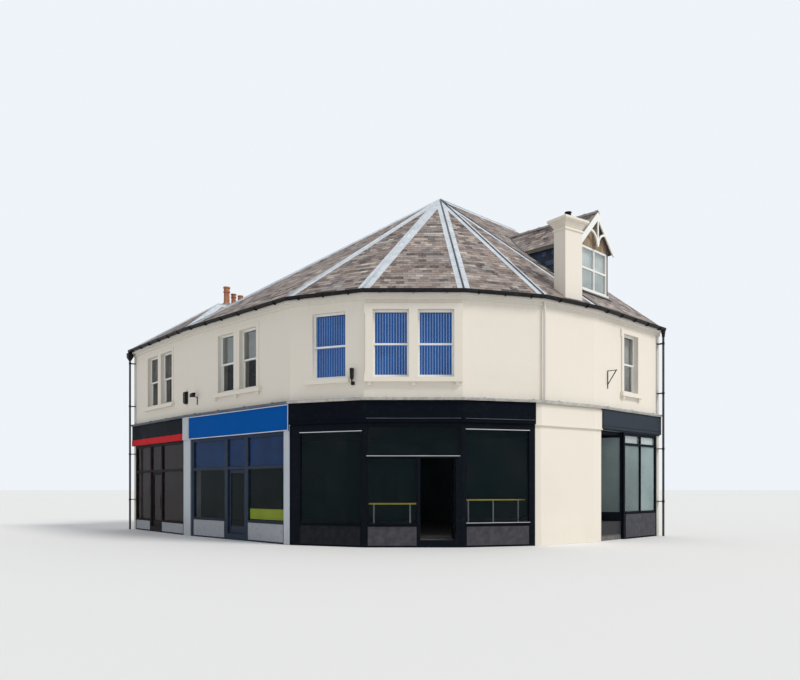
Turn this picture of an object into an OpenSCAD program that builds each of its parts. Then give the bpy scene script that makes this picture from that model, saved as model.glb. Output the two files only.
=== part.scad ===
// Two-storey corner shop building on a street corner, with a faceted hipped slate roof.
// Millimetres, +Z up. The origin is at ground level below the middle of the entrance face,
// +Y runs into the building and +X runs to the right along the street.

/* [Plan] */
// Length of the left bay's street front
bay_front_len = 5300; // [4500:50:6400]
// Length of the left street front
left_front_len = 5790; // [5200:50:7000]
// Length of the left canted corner face
corner_left_len = 2360; // [2000:20:2900]
// Length of the middle corner face, which has the entrance
corner_front_len = 2740; // [2700:20:3300]
// Length of the right canted corner face
corner_right_len = 2380; // [2000:20:2900]
// Length of the plain pier face
pier_face_len = 2270; // [2200:10:2800]
// Length of the right street front
right_front_len = 4310; // [4000:50:5400]
// Depth of the left bay behind the main corner
bay_depth = 7200; // [5600:100:8800]
// Thickness of the street walls
wall_t = 350; // [250:10:420]
// Thickness of the party walls
party_t = 230; // [200:10:300]
// Thickness of the rear walls
rear_t = 300; // [220:10:360]

/* [Storeys] */
// Height of the shop floor above the lowest pavement
floor_z = 200; // [120:10:300]
// Height of the right shop's raised floor
raised_floor_z = 580; // [400:10:700]
// Height of the first floor's top
first_floor_z = 3850; // [3760:10:3950]
// Thickness of the upper floors
slab_t = 200; // [150:10:260]
// Height of the attic floor's top
attic_floor_z = 6950; // [6850:10:6990]
// Foot of the upper walls over the street shops
shop_head_z = 3300; // [3200:10:3400]
// Foot of the upper walls over the corner and right shops
corner_head_z = 3440; // [3400:10:3500]

/* [Roof] */
// Height of the slates' top at the eaves
eave_z = 7130; // [7110:5:7250]
// Height of the roof's apex
apex_z = 12000; // [10500:50:13500]
// Distance of the ridge behind the right street front
right_run = 6060; // [5200:20:6900]
// Distance of the apex behind the left street front
left_run = 6930; // [6200:20:7600]
// Overhang of the slates beyond the street walls
eave_out = 130; // [80:5:180]
// Upright thickness of the roof slabs
roof_t = 120; // [90:5:160]
// Height of the left bay's ridge
bay_ridge_z = 8910; // [8400:20:9600]
// Distance of the left bay's hip end behind its eaves
bay_hip_run = 2600; // [2200:20:3200]
// Half width of the lead on each hip
lead_w = 175; // [120:5:220]
// Thickness of the lead with its boards
lead_t = 22; // [12:1:40]

/* [Dormer] */
// Distance of the dormer's opening from the right corner
dormer_x = 920; // [860:10:1200]
// Width of the dormer's window
dormer_w = 1600; // [1300:10:1700]
// Distance of the dormer's face behind the wall face
dormer_back = 1000; // [850:10:1300]
// Height of the dormer window's head
dormer_head_z = 9510; // [9300:10:9560]
// Height of the dormer's ridge
dormer_ridge_z = 10700; // [10640:10:11000]
// Slope of the dormer's roof, in degrees
dormer_pitch = 45; // [42:1:50]
// Thickness of the dormer's cheeks
cheek_t = 90; // [60:5:120]
// Overhang of the dormer's slates at the sides
dormer_side_out = 165; // [120:5:200]

/* [Windows] */
// Height of the upper window openings' foot
sill_z = 4720; // [4600:10:4850]
// Height of the upper window openings' head
head_z = 6600; // [6400:10:6650]
// Depth of the window frames behind the wall face
reveal = 110; // [60:5:150]
// Depth of the box frames
box_frame_d = 110; // [100:5:140]
// Width of the box frames' stiles that shows beside the masonry
stile_w = 16; // [10:1:30]
// Thickness of one sash
sash_t = 42; // [36:2:48]
// Width of the sash rails
rail_w = 38; // [32:1:50]

/* [Shopfronts] */
// Height of the stall risers under the shop windows
riser_z = 650; // [500:10:800]
// Height of the left shop's stall riser
left_riser_z = 450; // [350:10:650]
// Height of the right shop's stall riser
right_riser_z = 870; // [760:10:950]
// Height of the transoms in the street shops
transom_z = 2240; // [2180:10:2300]
// Height of the transoms in the corner shop
corner_transom_z = 2480; // [2400:10:2520]
// Height of a transom bar
transom_h = 70; // [50:5:90]
// Width of the shop posts
post_w = 90; // [70:5:120]
// Depth of the shop frames behind the wall face
frame_in = 80; // [60:5:110]
// Projection of the shop frames before the wall face
frame_out = 20; // [0:5:40]
// Projection of the fascia boards
fascia_out = 80; // [60:5:110]
// Height of the fascias' top
fascia_top_z = 4080; // [3980:10:4120]
// Width of a shop doorway
door_w = 990; // [930:10:1040]
// Clearance between a door leaf and its jambs
door_gap = 8; // [6:0.5:12]
// Thickness of a door leaf
leaf_t = 44; // [38:2:52]
// Thickness of the shop glass
glass_t = 10; // [6:1:14]
// Clearance of a piece on the neighbour that carries it
seat = 0.3; // [0.1:0.05:0.6]

/* [Chimneys] */
// Width of the rendered stack
stack_w = 730; // [600:10:860]
// Depth of the rendered stack
stack_d = 450; // [400:10:620]
// Height of the rendered stack's top
stack_top_z = 9630; // [9300:10:10200]
// Distance of the rendered stack from the pier's left corner
stack_x = 1015; // [850:5:1100]
// Width of the brick stack
brick_stack_w = 450; // [380:10:520]
// Length of the brick stack
brick_stack_len = 1100; // [1000:20:1300]
// Distance of the brick stack behind the left bay's front
brick_stack_y = 3900; // [3400:50:4600]
// Height of the brick stack's top
brick_stack_top_z = 9680; // [9200:10:10000]

/* [Rainwater] */
// Outer radius of the half-round gutter
gutter_r = 58; // [50:1:70]
// Thickness of the gutter's wall
gutter_t = 6; // [4:1:10]
// Radius of the downpipes
pipe_r = 38; // [30:1:45]

/* [Hidden] */
$fn = 48;

// Plan: eleven faces, walked with the building on the left hand
run_45 = 45;
head = [-50.5, -45, -22.5, 0, 16, 35, 45, 135, 225, 135, 225];
function dir(h) = [cos(h), sin(h)];
function inward(h) = [-sin(h), cos(h)];
function dot(a, b) = a.x * b.x + a.y * b.y;
// Plan points lie on a tenth of a millimetre, so that neighbours share them exactly
function snap(p) = [round(p.x * 10) / 10, round(p.y * 10) / 10];
function meet(p, hp, q, hq) =
    snap(p + dir(hp) * (dot(q - p, inward(hq)) / dot(dir(hp), inward(hq))));

corner_d = [-corner_front_len / 2, 0];
corner_e = [corner_front_len / 2, 0];
corner_c = snap(corner_d - corner_left_len * dir(head[2]));
corner_b = snap(corner_c - left_front_len * dir(head[1]));
corner_a = snap(corner_b - bay_front_len * dir(head[0]));
corner_f = snap(corner_e + corner_right_len * dir(head[4]));
corner_g = snap(corner_f + pier_face_len * dir(head[5]));
corner_h = snap(corner_g + right_front_len * dir(head[6]));
rear_right = meet(corner_b, run_45, corner_h, head[7]);
rear_step = snap(corner_b + bay_depth * dir(run_45));
rear_left = meet(rear_step, head[9], corner_a, run_45);
corners = [
    corner_a, corner_b, corner_c, corner_d, corner_e, corner_f, corner_g, corner_h,
    rear_right, rear_step, rear_left
];
faces = len(corners);
function face_len(i) = norm(corners[(i + 1) % faces] - corners[i]);
function at(i, x, y) = snap(corners[i] + x * dir(head[i]) + y * inward(head[i]));
function inset(i, d_before, d_after) =
    let (b = (i + faces - 1) % faces)
    meet(corners[i] + d_before * inward(head[b]), head[b],
         corners[i] + d_after * inward(head[i]), head[i]);

// Outline of a band along faces a to b, from depth d0 to depth d1
function band(a, xa, b, xb, d0, d1) = concat(
    [at(a, xa, d0)], [for (i = [a + 1 : 1 : b]) inset(i, d0, d0)], [at(b, xb, d0)],
    [at(b, xb, d1)], [for (i = [b : -1 : a + 1]) inset(i, d1, d1)], [at(a, xa, d1)]);

// Roof: apex, ridge and eaves corners in plan
apex = meet(corner_g + right_run * inward(head[6]), head[6],
            corner_b + left_run * inward(head[1]), head[1]);
ridge_end = meet(apex, run_45, corner_h, head[7]);
eave = [
    inset(0, 0, -eave_out), inset(1, -eave_out, -eave_out), inset(2, -eave_out, -eave_out),
    inset(3, -eave_out, -eave_out), inset(4, -eave_out, -eave_out),
    inset(5, -eave_out, -eave_out), inset(6, -eave_out, -eave_out), inset(7, -eave_out, 0)
];
valley_foot = eave[1];
rear_eave_end = meet(valley_foot, run_45, corner_h, head[7]);
valley_end = meet(valley_foot, run_45, rear_step, head[9]);
bay_mid = snap((valley_foot + meet(valley_foot, head[9], corner_a, run_45)) / 2);
bay_apex = meet(bay_mid, run_45, at(0, 0, bay_hip_run - eave_out), head[0]);
bay_ridge_end = meet(bay_mid, run_45, rear_step, head[9]);

// Slopes: 0 bay front, 1 left, 2 to 5 corner, 6 right, 7 rear, 8 bay right, 9 bay left
slope_plan = [
    [eave[0], eave[1], bay_apex],
    [eave[1], eave[2], apex], [eave[2], eave[3], apex], [eave[3], eave[4], apex],
    [eave[4], eave[5], apex], [eave[5], eave[6], apex],
    [eave[6], eave[7], ridge_end, apex],
    [valley_end, valley_foot, apex, ridge_end, rear_eave_end],
    [valley_foot, valley_end, bay_ridge_end, bay_apex],
    [rear_left, eave[0], bay_apex, bay_ridge_end]
];
slope_base = [
    eave[0], eave[1], eave[2], eave[3], eave[4], eave[5], eave[6],
    rear_eave_end, valley_foot, rear_left
];
slope_head = [head[0], head[1], head[2], head[3], head[4], head[5], head[6],
              head[8], run_45, head[10]];
function is_bay(k) = k == 0 || k > 7;
function slope_top(k) = is_bay(k) ? bay_ridge_z : apex_z;
function slope_depth(k, p) = dot(p - slope_base[k], inward(slope_head[k]));
function slope_run(k) = slope_depth(k, is_bay(k) ? bay_apex : apex);
function slope_tan(k) = (slope_top(k) - eave_z) / slope_run(k);
// Height of slope k over a point that lies d behind its eaves line
function slate_z(k, d) = eave_z + d * slope_tan(k);
// Height of slope k over a plan point, exact at the eaves and the ridge
function height_over(k, p) =
    let (z = slate_z(k, slope_depth(k, p)))
    abs(z - eave_z) < 1 ? eave_z : abs(z - slope_top(k)) < 1 ? slope_top(k) : z;
function on_slope(k, p, up) = [p.x, p.y, height_over(k, p) + up];

// Edges of each slope's outline that are dressed with lead
lead_edges = [[1, 2], [1, 2], [1, 2], [1, 2], [1, 2], [1, 2], [2, 3], [0, 1, 2],
              [0, 2, 3], [1, 2]];
function heading(a, b) = atan2(b.y - a.y, b.x - a.x);
function has(list, v) = len([for (x = list) if (x == v) x]) > 0;
// Corner j of a lead outline, drawn in by the lead's width from each dressed edge
function lead_inner(k, j) =
    let (rim = slope_plan[k], n = len(rim), b = (j + n - 1) % n,
         p = rim[j], hb = heading(rim[b], p), ha = heading(p, rim[(j + 1) % n]),
         wb = has(lead_edges[k], b) ? lead_w : 0, wa = has(lead_edges[k], j) ? lead_w : 0)
    abs(sin(ha - hb)) < 0.01 ? snap(p + wa * inward(ha))
        : meet(p + wb * inward(hb), hb, p + wa * inward(ha), ha);

// Openings in the upper walls, as left edge and width
bay_win_x = 1500;
bay_win_w = 1010;
bay_win_gap = 300;
left_win_x = 1890;
left_win_w = 930;
left_win_gap = 330;
corner_win_w = 1050;
corner_win_x = 730;
front_win_w = 1000;
front_win_gap = 250;
front_win_x = (corner_front_len - 2 * front_win_w - front_win_gap) / 2;
right_win_x = 1800;
right_win_w = 935;
rear_win_w = 950;
rear_wall_len = face_len(8);
bay_rear_len = face_len(9);
upper_windows = [
    [[bay_win_x, bay_win_w], [bay_win_x + bay_win_w + bay_win_gap, bay_win_w]],
    [[left_win_x, left_win_w], [left_win_x + left_win_w + left_win_gap, left_win_w]],
    [[corner_win_x, corner_win_w]],
    [[front_win_x, front_win_w], [front_win_x + front_win_w + front_win_gap, front_win_w]],
    [], [],
    [[right_win_x, right_win_w]],
    [],
    [[(rear_wall_len - rear_win_w) / 2, rear_win_w]],
    [[bay_rear_len * 0.3 - rear_win_w / 2, rear_win_w],
     [bay_rear_len * 0.7 - rear_win_w / 2, rear_win_w]],
    []
];
rear_sill_z = 1150;
rear_head_z = 2500;
over = 50;

// Doorways, as face, left edge and floor height
left_door_x = 1850;
second_door_x = 2475;
corner_door_x = corner_front_len - door_w - 190;
leaf_w = door_w - 2 * door_gap;
knuckle_r = door_gap - 0.3;

// Shop windows of each face, as left, right, foot and head
pilaster_w = 340;
end_pilaster_w = 240;
side_post_w = 330;
pier_wrap = 190;
right_pier_w = 430;
lobby_w = 1900;
light_head_z = shop_head_z - post_w;
corner_light_head_z = corner_head_z - post_w;
fan_z = transom_z + transom_h;
corner_fan_z = corner_transom_z + transom_h;
bay_party_x = party_t / cos(head[0] + run_45);
left_first = bay_party_x + post_w;
left_last = bay_front_len - pilaster_w - post_w;
second_first = pilaster_w;
second_post_w = 175;
second_last = left_front_len - end_pilaster_w - post_w / 2;
right_last = right_front_len - party_t - post_w;
right_mid = (lobby_w + right_last) / 2;
right_top_z = 3040;
lobby_d = 1050;
lobby_back_x = 1300;
lobby_post = 45;
lobby_head_z = 3270;
lobby_light = [90, 1050];
back_light = [right_pier_w + 190, lobby_back_x - 190, raised_floor_z + 300, 2700];
screen_t = 60;
shop_lights = [
    [
        [left_first, left_door_x - post_w, left_riser_z, transom_z],
        [left_first, left_door_x - post_w, fan_z, light_head_z],
        [left_door_x, left_door_x + door_w, fan_z, light_head_z],
        [left_door_x + door_w + post_w, left_last, left_riser_z, transom_z],
        [left_door_x + door_w + post_w, left_last, fan_z, light_head_z]
    ],
    [
        [second_first, second_door_x - second_post_w, riser_z, transom_z],
        [second_first, second_door_x - second_post_w, fan_z, light_head_z],
        [second_door_x, second_door_x + door_w, fan_z, light_head_z],
        [second_door_x + door_w + second_post_w, second_last, riser_z, transom_z],
        [second_door_x + door_w + second_post_w, second_last, fan_z, light_head_z]
    ],
    [[side_post_w, corner_left_len - post_w, riser_z, corner_light_head_z - 110]],
    [
        [post_w, corner_door_x - post_w, riser_z, corner_transom_z],
        [post_w, corner_front_len - post_w, corner_fan_z, corner_light_head_z]
    ],
    [[post_w, corner_right_len - pier_wrap - 2 * post_w, riser_z, corner_light_head_z - 60]],
    [],
    [
        [lobby_w, right_mid - post_w / 4, right_riser_z, right_top_z],
        [lobby_w, right_mid - post_w / 4, right_top_z + post_w / 2, corner_light_head_z],
        [right_mid + post_w / 4, right_last, right_riser_z, right_top_z],
        [right_mid + post_w / 4, right_last, right_top_z + post_w / 2, corner_light_head_z]
    ]
];
head_z_of = [shop_head_z, shop_head_z, corner_head_z, corner_head_z, corner_head_z, 0,
             corner_head_z];

// Places that several pieces share
glass_y = (frame_in - frame_out) / 2;
sash_out_y = reveal + 8;
sash_in_y = sash_out_y + sash_t;
mid_rail_z = (sill_z + head_z) / 2;
dormer_mid = dormer_x + dormer_w / 2;
dormer_half = dormer_w / 2 + cheek_t + dormer_side_out;
dormer_roof_t = 110;
dormer_front_out = 120;
dormer_len = right_run - lead_w - seat - (dormer_back - dormer_front_out);
dormer_bar = 60;
dormer_sill_z = round(slate_z(6, dormer_back + eave_out)) + 70;
function dormer_pane(s) =
    let (w = (dormer_w - 3 * dormer_bar) / 2, x = dormer_x + dormer_bar + s * (w + dormer_bar))
    [x, x + w];
function dormer_pane_z(t) =
    let (h = (dormer_head_z - dormer_sill_z - 3 * dormer_bar) / 2,
         z = dormer_sill_z + dormer_bar + t * (h + dormer_bar))
    [z, z + h];
post_proud = 6;
meeting_h = 50;
foot_rail_h = 75;
margin_w = 130;
margin_out = 20;
sill_h = 130;
sill_out = 110;
console_w = 110;
console_h = 90;
console_out = 75;
fascia_board_t = 20;
board_y = -eave_out - seat - fascia_board_t;
gutter_y = board_y - seat - gutter_r;
in_wall = wall_t + seat;
in_party = party_t + seat;
in_rear = rear_t + seat;
in_frame = frame_in + seat;
gutter_z = eave_z - 50;
cap_h = 240;
neck_drop = 350;
soffit_z = eave_z - roof_t - 45;
cornice_top_z = fascia_top_z + 65;

module on_face(i) {
    translate([corners[i].x, corners[i].y, 0]) rotate([0, 0, head[i]]) children();
}

// A flat outline in the plane of face i, drawn as x along and z up, from depth d0 to d1
module panel(i, d0, d1) {
    on_face(i) translate([0, d1, 0]) rotate([90, 0, 0]) linear_extrude(d1 - d0) children();
}

// A cross-section drawn as depth and height, run along face i
module run_along(i, x0, x1) {
    on_face(i) translate([x0, 0, 0]) rotate([90, 0, 90]) linear_extrude(x1 - x0) children();
}

module slab(points, z0, z1) {
    translate([0, 0, z0]) linear_extrude(z1 - z0) polygon(points);
}

module rect(x0, x1, z0, z1) {
    translate([x0, z0]) square([x1 - x0, z1 - z0]);
}

// A flat sheet over a convex outline, t thick, measured upright
module sheet(tops, t) {
    n = len(tops);
    polyhedron(
        points = concat(tops, [for (p = tops) p - [0, 0, t]]),
        faces = concat(
            [for (j = [1 : n - 2]) [0, j + 1, j]],
            [for (j = [1 : n - 2]) [n, n + j, n + j + 1]],
            [for (j = [0 : n - 1]) [j, (j + 1) % n, (j + 1) % n + n, j + n]]
        ));
}

module slope_sheet(k) {
    sheet([for (p = slope_plan[k]) on_slope(k, p, 0)], roof_t);
}

// Everything below the underside of slope k
module under_slope(k) {
    reach = 14000;
    far = slope_run(k) + 400;
    translate([slope_base[k].x, slope_base[k].y, 0]) rotate([0, 0, slope_head[k]])
        translate([-reach, 0, 0]) rotate([90, 0, 90]) linear_extrude(2 * reach)
            polygon([
                [-600, 0], [reach, 0], [reach, slate_z(k, far) - roof_t - seat],
                [far, slate_z(k, far) - roof_t - seat],
                [-600, slate_z(k, -600) - roof_t - seat]
            ]);
}

module below_right_slates() {
    on_face(6) translate([-1000, 0, 0]) rotate([90, 0, 90]) linear_extrude(8000)
        polygon([
            [-500, 5000], [7000, 5000],
            [7000, slate_z(6, 7000 + eave_out) + seat], [-500, slate_z(6, eave_out - 500) + seat]
        ]);
}

module window_holes(i, t) {
    for (w = upper_windows[i])
        panel(i, -over, t + over) rect(w[0], w[0] + w[1], sill_z, head_z);
}

module front_wall(i, x0, x1, foot) {
    plan = [
        x0 == 0 ? corners[i] : at(i, x0, 0),
        x1 == 0 ? corners[i + 1] : at(i, x1, 0),
        x1 == 0 ? inset(i + 1, wall_t, wall_t) : at(i, x1, wall_t),
        x0 == 0 ? inset(i, wall_t, wall_t) : at(i, x0, wall_t)
    ];
    difference() {
        intersection() {
            slab(plan, foot, eave_z + 600);
            under_slope(i);
            under_slope(i < 6 ? i + 1 : i - 1);
            under_slope(i > 1 ? i - 1 : 7);
        }
        window_holes(i, wall_t);
    }
}

// Floors

module ground_floor() {
    outline = [
        inset(0, in_party, in_frame), inset(1, in_frame, in_frame),
        inset(2, in_frame, in_frame), inset(3, in_frame, in_frame),
        inset(4, in_frame, in_frame),
        at(4, corner_right_len - pier_wrap - seat, in_frame),
        at(4, corner_right_len - pier_wrap - seat, in_wall),
        inset(5, in_wall, in_wall), inset(6, in_wall, in_wall),
        at(6, right_pier_w + seat, in_wall), at(6, right_pier_w + seat, in_frame),
        inset(7, in_frame, in_party), inset(8, in_party, in_rear),
        inset(9, in_rear, in_rear), inset(10, in_rear, in_party)
    ];
    raised_depth = 4200;
    // The raised part's sides stand this far inside the slab's sides
    nest = 1;
    color("gray") difference() {
        union() {
            slab(outline, 0, floor_z);
            slab([
                at(6, right_pier_w + seat + nest, in_wall + nest),
                at(6, right_pier_w + seat + nest, in_frame + nest),
                inset(7, in_frame + nest, in_party + nest),
                at(7, raised_depth, in_party + nest),
                at(6, nest, raised_depth), inset(6, in_wall + nest, in_wall + nest)
            ], 0, raised_floor_z);
        }
        shop_pier_blocks(over);
    }
}

module upper_floor(top) {
    slab([
        inset(0, in_party, in_wall), inset(1, in_wall, in_wall), inset(2, in_wall, in_wall),
        inset(3, in_wall, in_wall), inset(4, in_wall, in_wall), inset(5, in_wall, in_wall),
        inset(6, in_wall, in_wall), inset(7, in_wall, in_party), inset(8, in_party, in_rear),
        inset(9, in_rear, in_rear), inset(10, in_rear, in_party)
    ], top - slab_t, top);
}

module first_floor() {
    color("tan") upper_floor(first_floor_z);
}

module attic_floor() {
    plate_w = 60;
    color("tan") {
        upper_floor(attic_floor_z);
        // Timber plate that carries the feet of both slopes at the valley
        slab([
            meet(valley_foot + plate_w * inward(head[8]), run_45, at(0, 0, in_wall + plate_w), head[0]),
            meet(valley_foot - plate_w * inward(head[8]), run_45, at(0, 0, in_wall + plate_w), head[0]),
            meet(valley_foot - plate_w * inward(head[8]), run_45, at(9, 0, in_rear), head[9]),
            meet(valley_foot + plate_w * inward(head[8]), run_45, at(9, 0, in_rear), head[9])
        ], attic_floor_z, eave_z - roof_t);
    }
}

// Street walls

module left_bay_wall() {
    color("ivory") difference() {
        intersection() {
            slab([
                inset(0, in_party, 0), corners[1],
                inset(1, wall_t, wall_t), inset(0, in_party, wall_t)
            ], shop_head_z, eave_z + 600);
            under_slope(0);
            under_slope(8);
            under_slope(9);
        }
        window_holes(0, wall_t);
    }
}

module left_wall() {
    color("ivory") front_wall(1, 0, 0, shop_head_z);
}

module corner_left_wall() {
    color("ivory") front_wall(2, 0, 0, corner_head_z);
}

module corner_front_wall() {
    color("ivory") front_wall(3, 0, 0, corner_head_z);
}

module corner_right_wall() {
    color("ivory") front_wall(4, 0, 0, corner_head_z);
}

module pier_wall() {
    frieze_z = 3470;
    frieze_top = fascia_top_z - 40;
    color("ivory") {
        difference() {
            union() {
                front_wall(5, 0, 0, corner_head_z);
                slab(band(4, corner_right_len - pier_wrap, 6, right_pier_w, 0, wall_t),
                     0, corner_head_z);
            }
            panel(5, -over, stack_d)
                rect(stack_x, stack_x + stack_w, attic_floor_z, eave_z + 1000);
        }
        // Plain frieze between two small mouldings, which heads the pier
        slab(band(4, corner_right_len - pier_wrap, 6, right_pier_w, -35, 0),
             frieze_z, frieze_top);
        slab(band(4, corner_right_len - pier_wrap, 6, right_pier_w, -60, 0),
             frieze_z - 35, frieze_z);
    }
}

module right_wall() {
    color("ivory") front_wall(6, 0, right_front_len - in_party, corner_head_z);
}

// Party and rear walls

module left_party_wall() {
    color("ivory") difference() {
        intersection() {
            slab([
                rear_left, corner_a, inset(0, party_t, 0), inset(10, rear_t, party_t)
            ], 0, eave_z + 600);
            under_slope(9);
            under_slope(0);
        }
        left_stack_block(attic_floor_z, eave_z + 1000);
    }
}

module right_party_wall() {
    depth = face_len(7);
    color("ivory") panel(7, 0, party_t) polygon([
        [0, 0], [depth, 0],
        [depth, slate_z(7, slope_depth(7, rear_right)) - roof_t - seat],
        [dot(ridge_end - corner_h, dir(head[7])), apex_z - roof_t - seat],
        [0, slate_z(6, eave_out) - roof_t - seat]
    ]);
}

module rear_wall() {
    color("ivory") difference() {
        intersection() {
            slab([
                inset(8, in_party, 0), rear_step, inset(9, rear_t, rear_t),
                inset(8, in_party, rear_t)
            ], 0, eave_z + 600);
            under_slope(7);
        }
        window_holes(8, rear_t);
        for (w = upper_windows[8])
            panel(8, -over, rear_t + over) rect(w[0], w[0] + w[1], rear_sill_z, rear_head_z);
    }
}

module left_bay_rear_wall() {
    mid = dot(bay_ridge_end - rear_step, dir(head[9]));
    foot = dot(valley_end - rear_step, dir(head[9]));
    color("ivory") difference() {
        intersection() {
            slab([rear_step, rear_left, inset(10, rear_t, party_t), inset(9, rear_t, rear_t)],
                 0, bay_ridge_z);
            panel(9, -over, rear_t + over) polygon([
                [-rear_t, 0], [bay_rear_len, 0], [bay_rear_len, eave_z - roof_t - seat],
                [mid, bay_ridge_z - roof_t - seat], [foot, eave_z - roof_t - seat],
                [-rear_t, eave_z - roof_t - seat]
            ]);
        }
        window_holes(9, rear_t);
        for (w = upper_windows[9])
            panel(9, -over, rear_t + over) rect(w[0], w[0] + w[1], rear_sill_z, rear_head_z);
    }
}

// Roof

module left_roof_slope() {
    color("rosybrown") slope_sheet(1);
}

module corner_roof() {
    color("rosybrown") difference() {
        for (k = [2 : 5]) slope_sheet(k);
        stack_block(attic_floor_z, stack_top_z);
    }
}

module right_roof_slope() {
    well_d = 1700;
    color("rosybrown") difference() {
        slope_sheet(6);
        slab([
            at(6, dormer_x + over, dormer_back + 2 * over),
            at(6, dormer_x + dormer_w - over, dormer_back + 2 * over),
            at(6, dormer_x + dormer_w - over, dormer_back + well_d),
            at(6, dormer_x + over, dormer_back + well_d)
        ], eave_z, apex_z);
    }
}

module rear_roof_slope() {
    color("rosybrown") slope_sheet(7);
}

module left_bay_roof() {
    color("rosybrown") difference() {
        for (k = [0, 8, 9]) slope_sheet(k);
        left_stack_block(attic_floor_z, brick_stack_top_z);
    }
}

// Lead on the hips, ridges and valley: one flat strip to each side of every line
module roof_leads() {
    color("lightsteelblue") for (k = [0 : 9]) for (j = lead_edges[k]) {
        next = (j + 1) % len(slope_plan[k]);
        sheet([for (p = [slope_plan[k][j], slope_plan[k][next], lead_inner(k, next),
                         lead_inner(k, j)]) on_slope(k, p, seat + lead_t)], lead_t);
    }
}

// Dormer

function dormer_z(x) = dormer_ridge_z - abs(x - dormer_mid) * tan(dormer_pitch);

module dormer_outline(x0, x1, drop) {
    polygon([
        [x0, dormer_z(x0) - drop], [dormer_mid, dormer_ridge_z - drop],
        [x1, dormer_z(x1) - drop], [x1, 5000], [x0, 5000]
    ]);
}

module dormer_roof() {
    x0 = dormer_mid - dormer_half;
    x1 = dormer_mid + dormer_half;
    front = dormer_back - dormer_front_out;
    color("rosybrown") difference() {
        panel(6, front, front + dormer_len) polygon([
            [x0, dormer_z(x0)], [dormer_mid, dormer_ridge_z], [x1, dormer_z(x1)],
            [x1, dormer_z(x1) - dormer_roof_t],
            [dormer_mid, dormer_ridge_z - dormer_roof_t],
            [x0, dormer_z(x0) - dormer_roof_t]
        ]);
        below_right_slates();
    }
}

module dormer_walls() {
    x0 = dormer_x - cheek_t;
    x1 = dormer_x + dormer_w + cheek_t;
    color("dimgray") difference() {
        intersection() {
            panel(6, dormer_back, dormer_back + dormer_len)
                dormer_outline(x0, x1, dormer_roof_t + seat);
            union() {
                panel(6, dormer_back, dormer_back + dormer_len) {
                    rect(x0, dormer_x, 5000, apex_z);
                    rect(dormer_x + dormer_w, x1, 5000, apex_z);
                }
                panel(6, dormer_back + 30, dormer_back + 90)
                    rect(x0, x1, dormer_head_z, apex_z);
            }
        }
        below_right_slates();
    }
}

module dormer_window() {
    color("white") difference() {
        union() {
            panel(6, dormer_back, dormer_back + 80) difference() {
                rect(dormer_x, dormer_x + dormer_w, 7800, dormer_head_z);
                for (s = [0, 1], t = [0, 1])
                    rect(dormer_pane(s)[0], dormer_pane(s)[1],
                         dormer_pane_z(t)[0], dormer_pane_z(t)[1]);
            }
            // Sill that stands forward over the slates
            panel(6, dormer_back - 70, dormer_back)
                rect(dormer_x - 40, dormer_x + dormer_w + 40, 7800, dormer_sill_z);
        }
        below_right_slates();
    }
}

module dormer_bargeboards() {
    board = 250;
    post = 70;
    foot_z = dormer_z(dormer_mid - dormer_half) - 190;
    x0 = dormer_mid - dormer_half;
    x1 = dormer_mid + dormer_half;
    front = dormer_back - dormer_front_out;
    tie_z = dormer_head_z + 60;
    brace_r = 430;
    color("white") {
        panel(6, front - 40, front) difference() {
            dormer_outline(x0, x1, 0);
            dormer_outline(x0, x1, board);
            rect(x0 - over, x1 + over, 5000, foot_z);
        }
        // King post and two curved braces below the boards
        panel(6, front - 40, front) intersection() {
            dormer_outline(x0, x1, board / 2);
            union() {
                rect(dormer_mid - post / 2, dormer_mid + post / 2, tie_z, dormer_ridge_z);
                for (s = [-1, 1])
                    translate([dormer_mid + s * brace_r, tie_z + 60]) difference() {
                        circle(brace_r);
                        circle(brace_r - post);
                        translate([-2 * brace_r, -2 * brace_r])
                            square([4 * brace_r, 2 * brace_r]);
                        translate([s > 0 ? 0 : -2 * brace_r, 0])
                            square([2 * brace_r, 2 * brace_r]);
                    }
            }
        }
    }
}

// Chimneys

module stack_block(z0, z1) {
    panel(5, 0, stack_d) rect(stack_x, stack_x + stack_w, z0, z1);
}

// Square moulding round a stack: the same profile on all four sides
module cap(i, x0, x1, d0, d1, steps) {
    for (s = steps)
        panel(i, d0 - s[0], d1 + s[0]) rect(x0 - s[0], x1 + s[0], s[1], s[2]);
}

module right_chimney() {
    z = stack_top_z;
    color("ivory") {
        stack_block(attic_floor_z + seat, z);
        cap(5, stack_x, stack_x + stack_w, 0, stack_d, [
            [30, z - neck_drop, z - neck_drop + 55], [22, z - cap_h, z - 200],
            [42, z - 200, z - 165], [62, z - 165, z - 135], [84, z - 135, z - 110],
            [108, z - 110, z - 85], [135, z - 85, z - 65], [150, z - 65, z]
        ]);
    }
}

module left_stack_block(z0, z1) {
    x1 = face_len(10) - brick_stack_y;
    panel(10, 0, brick_stack_w) rect(x1 - brick_stack_len, x1, z0, z1);
}

module left_chimney() {
    z = brick_stack_top_z;
    x1 = face_len(10) - brick_stack_y;
    color("firebrick") {
        left_stack_block(attic_floor_z + seat, z);
        cap(10, x1 - brick_stack_len, x1, 0, brick_stack_w, [
            [25, z - 300, z - 220], [45, z - 220, z - 75]
        ]);
    }
}

module pot(r, h) {
    rotate_extrude() polygon([
        [r * 0.66, 0], [r, 0], [r, h * 0.06], [r * 0.86, h * 0.1], [r * 0.8, h * 0.66],
        [r * 0.98, h * 0.68], [r * 0.98, h * 0.74], [r * 0.84, h * 0.77],
        [r * 0.84, h * 0.9], [r, h * 0.93], [r, h], [r * 0.66, h]
    ]);
}

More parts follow.
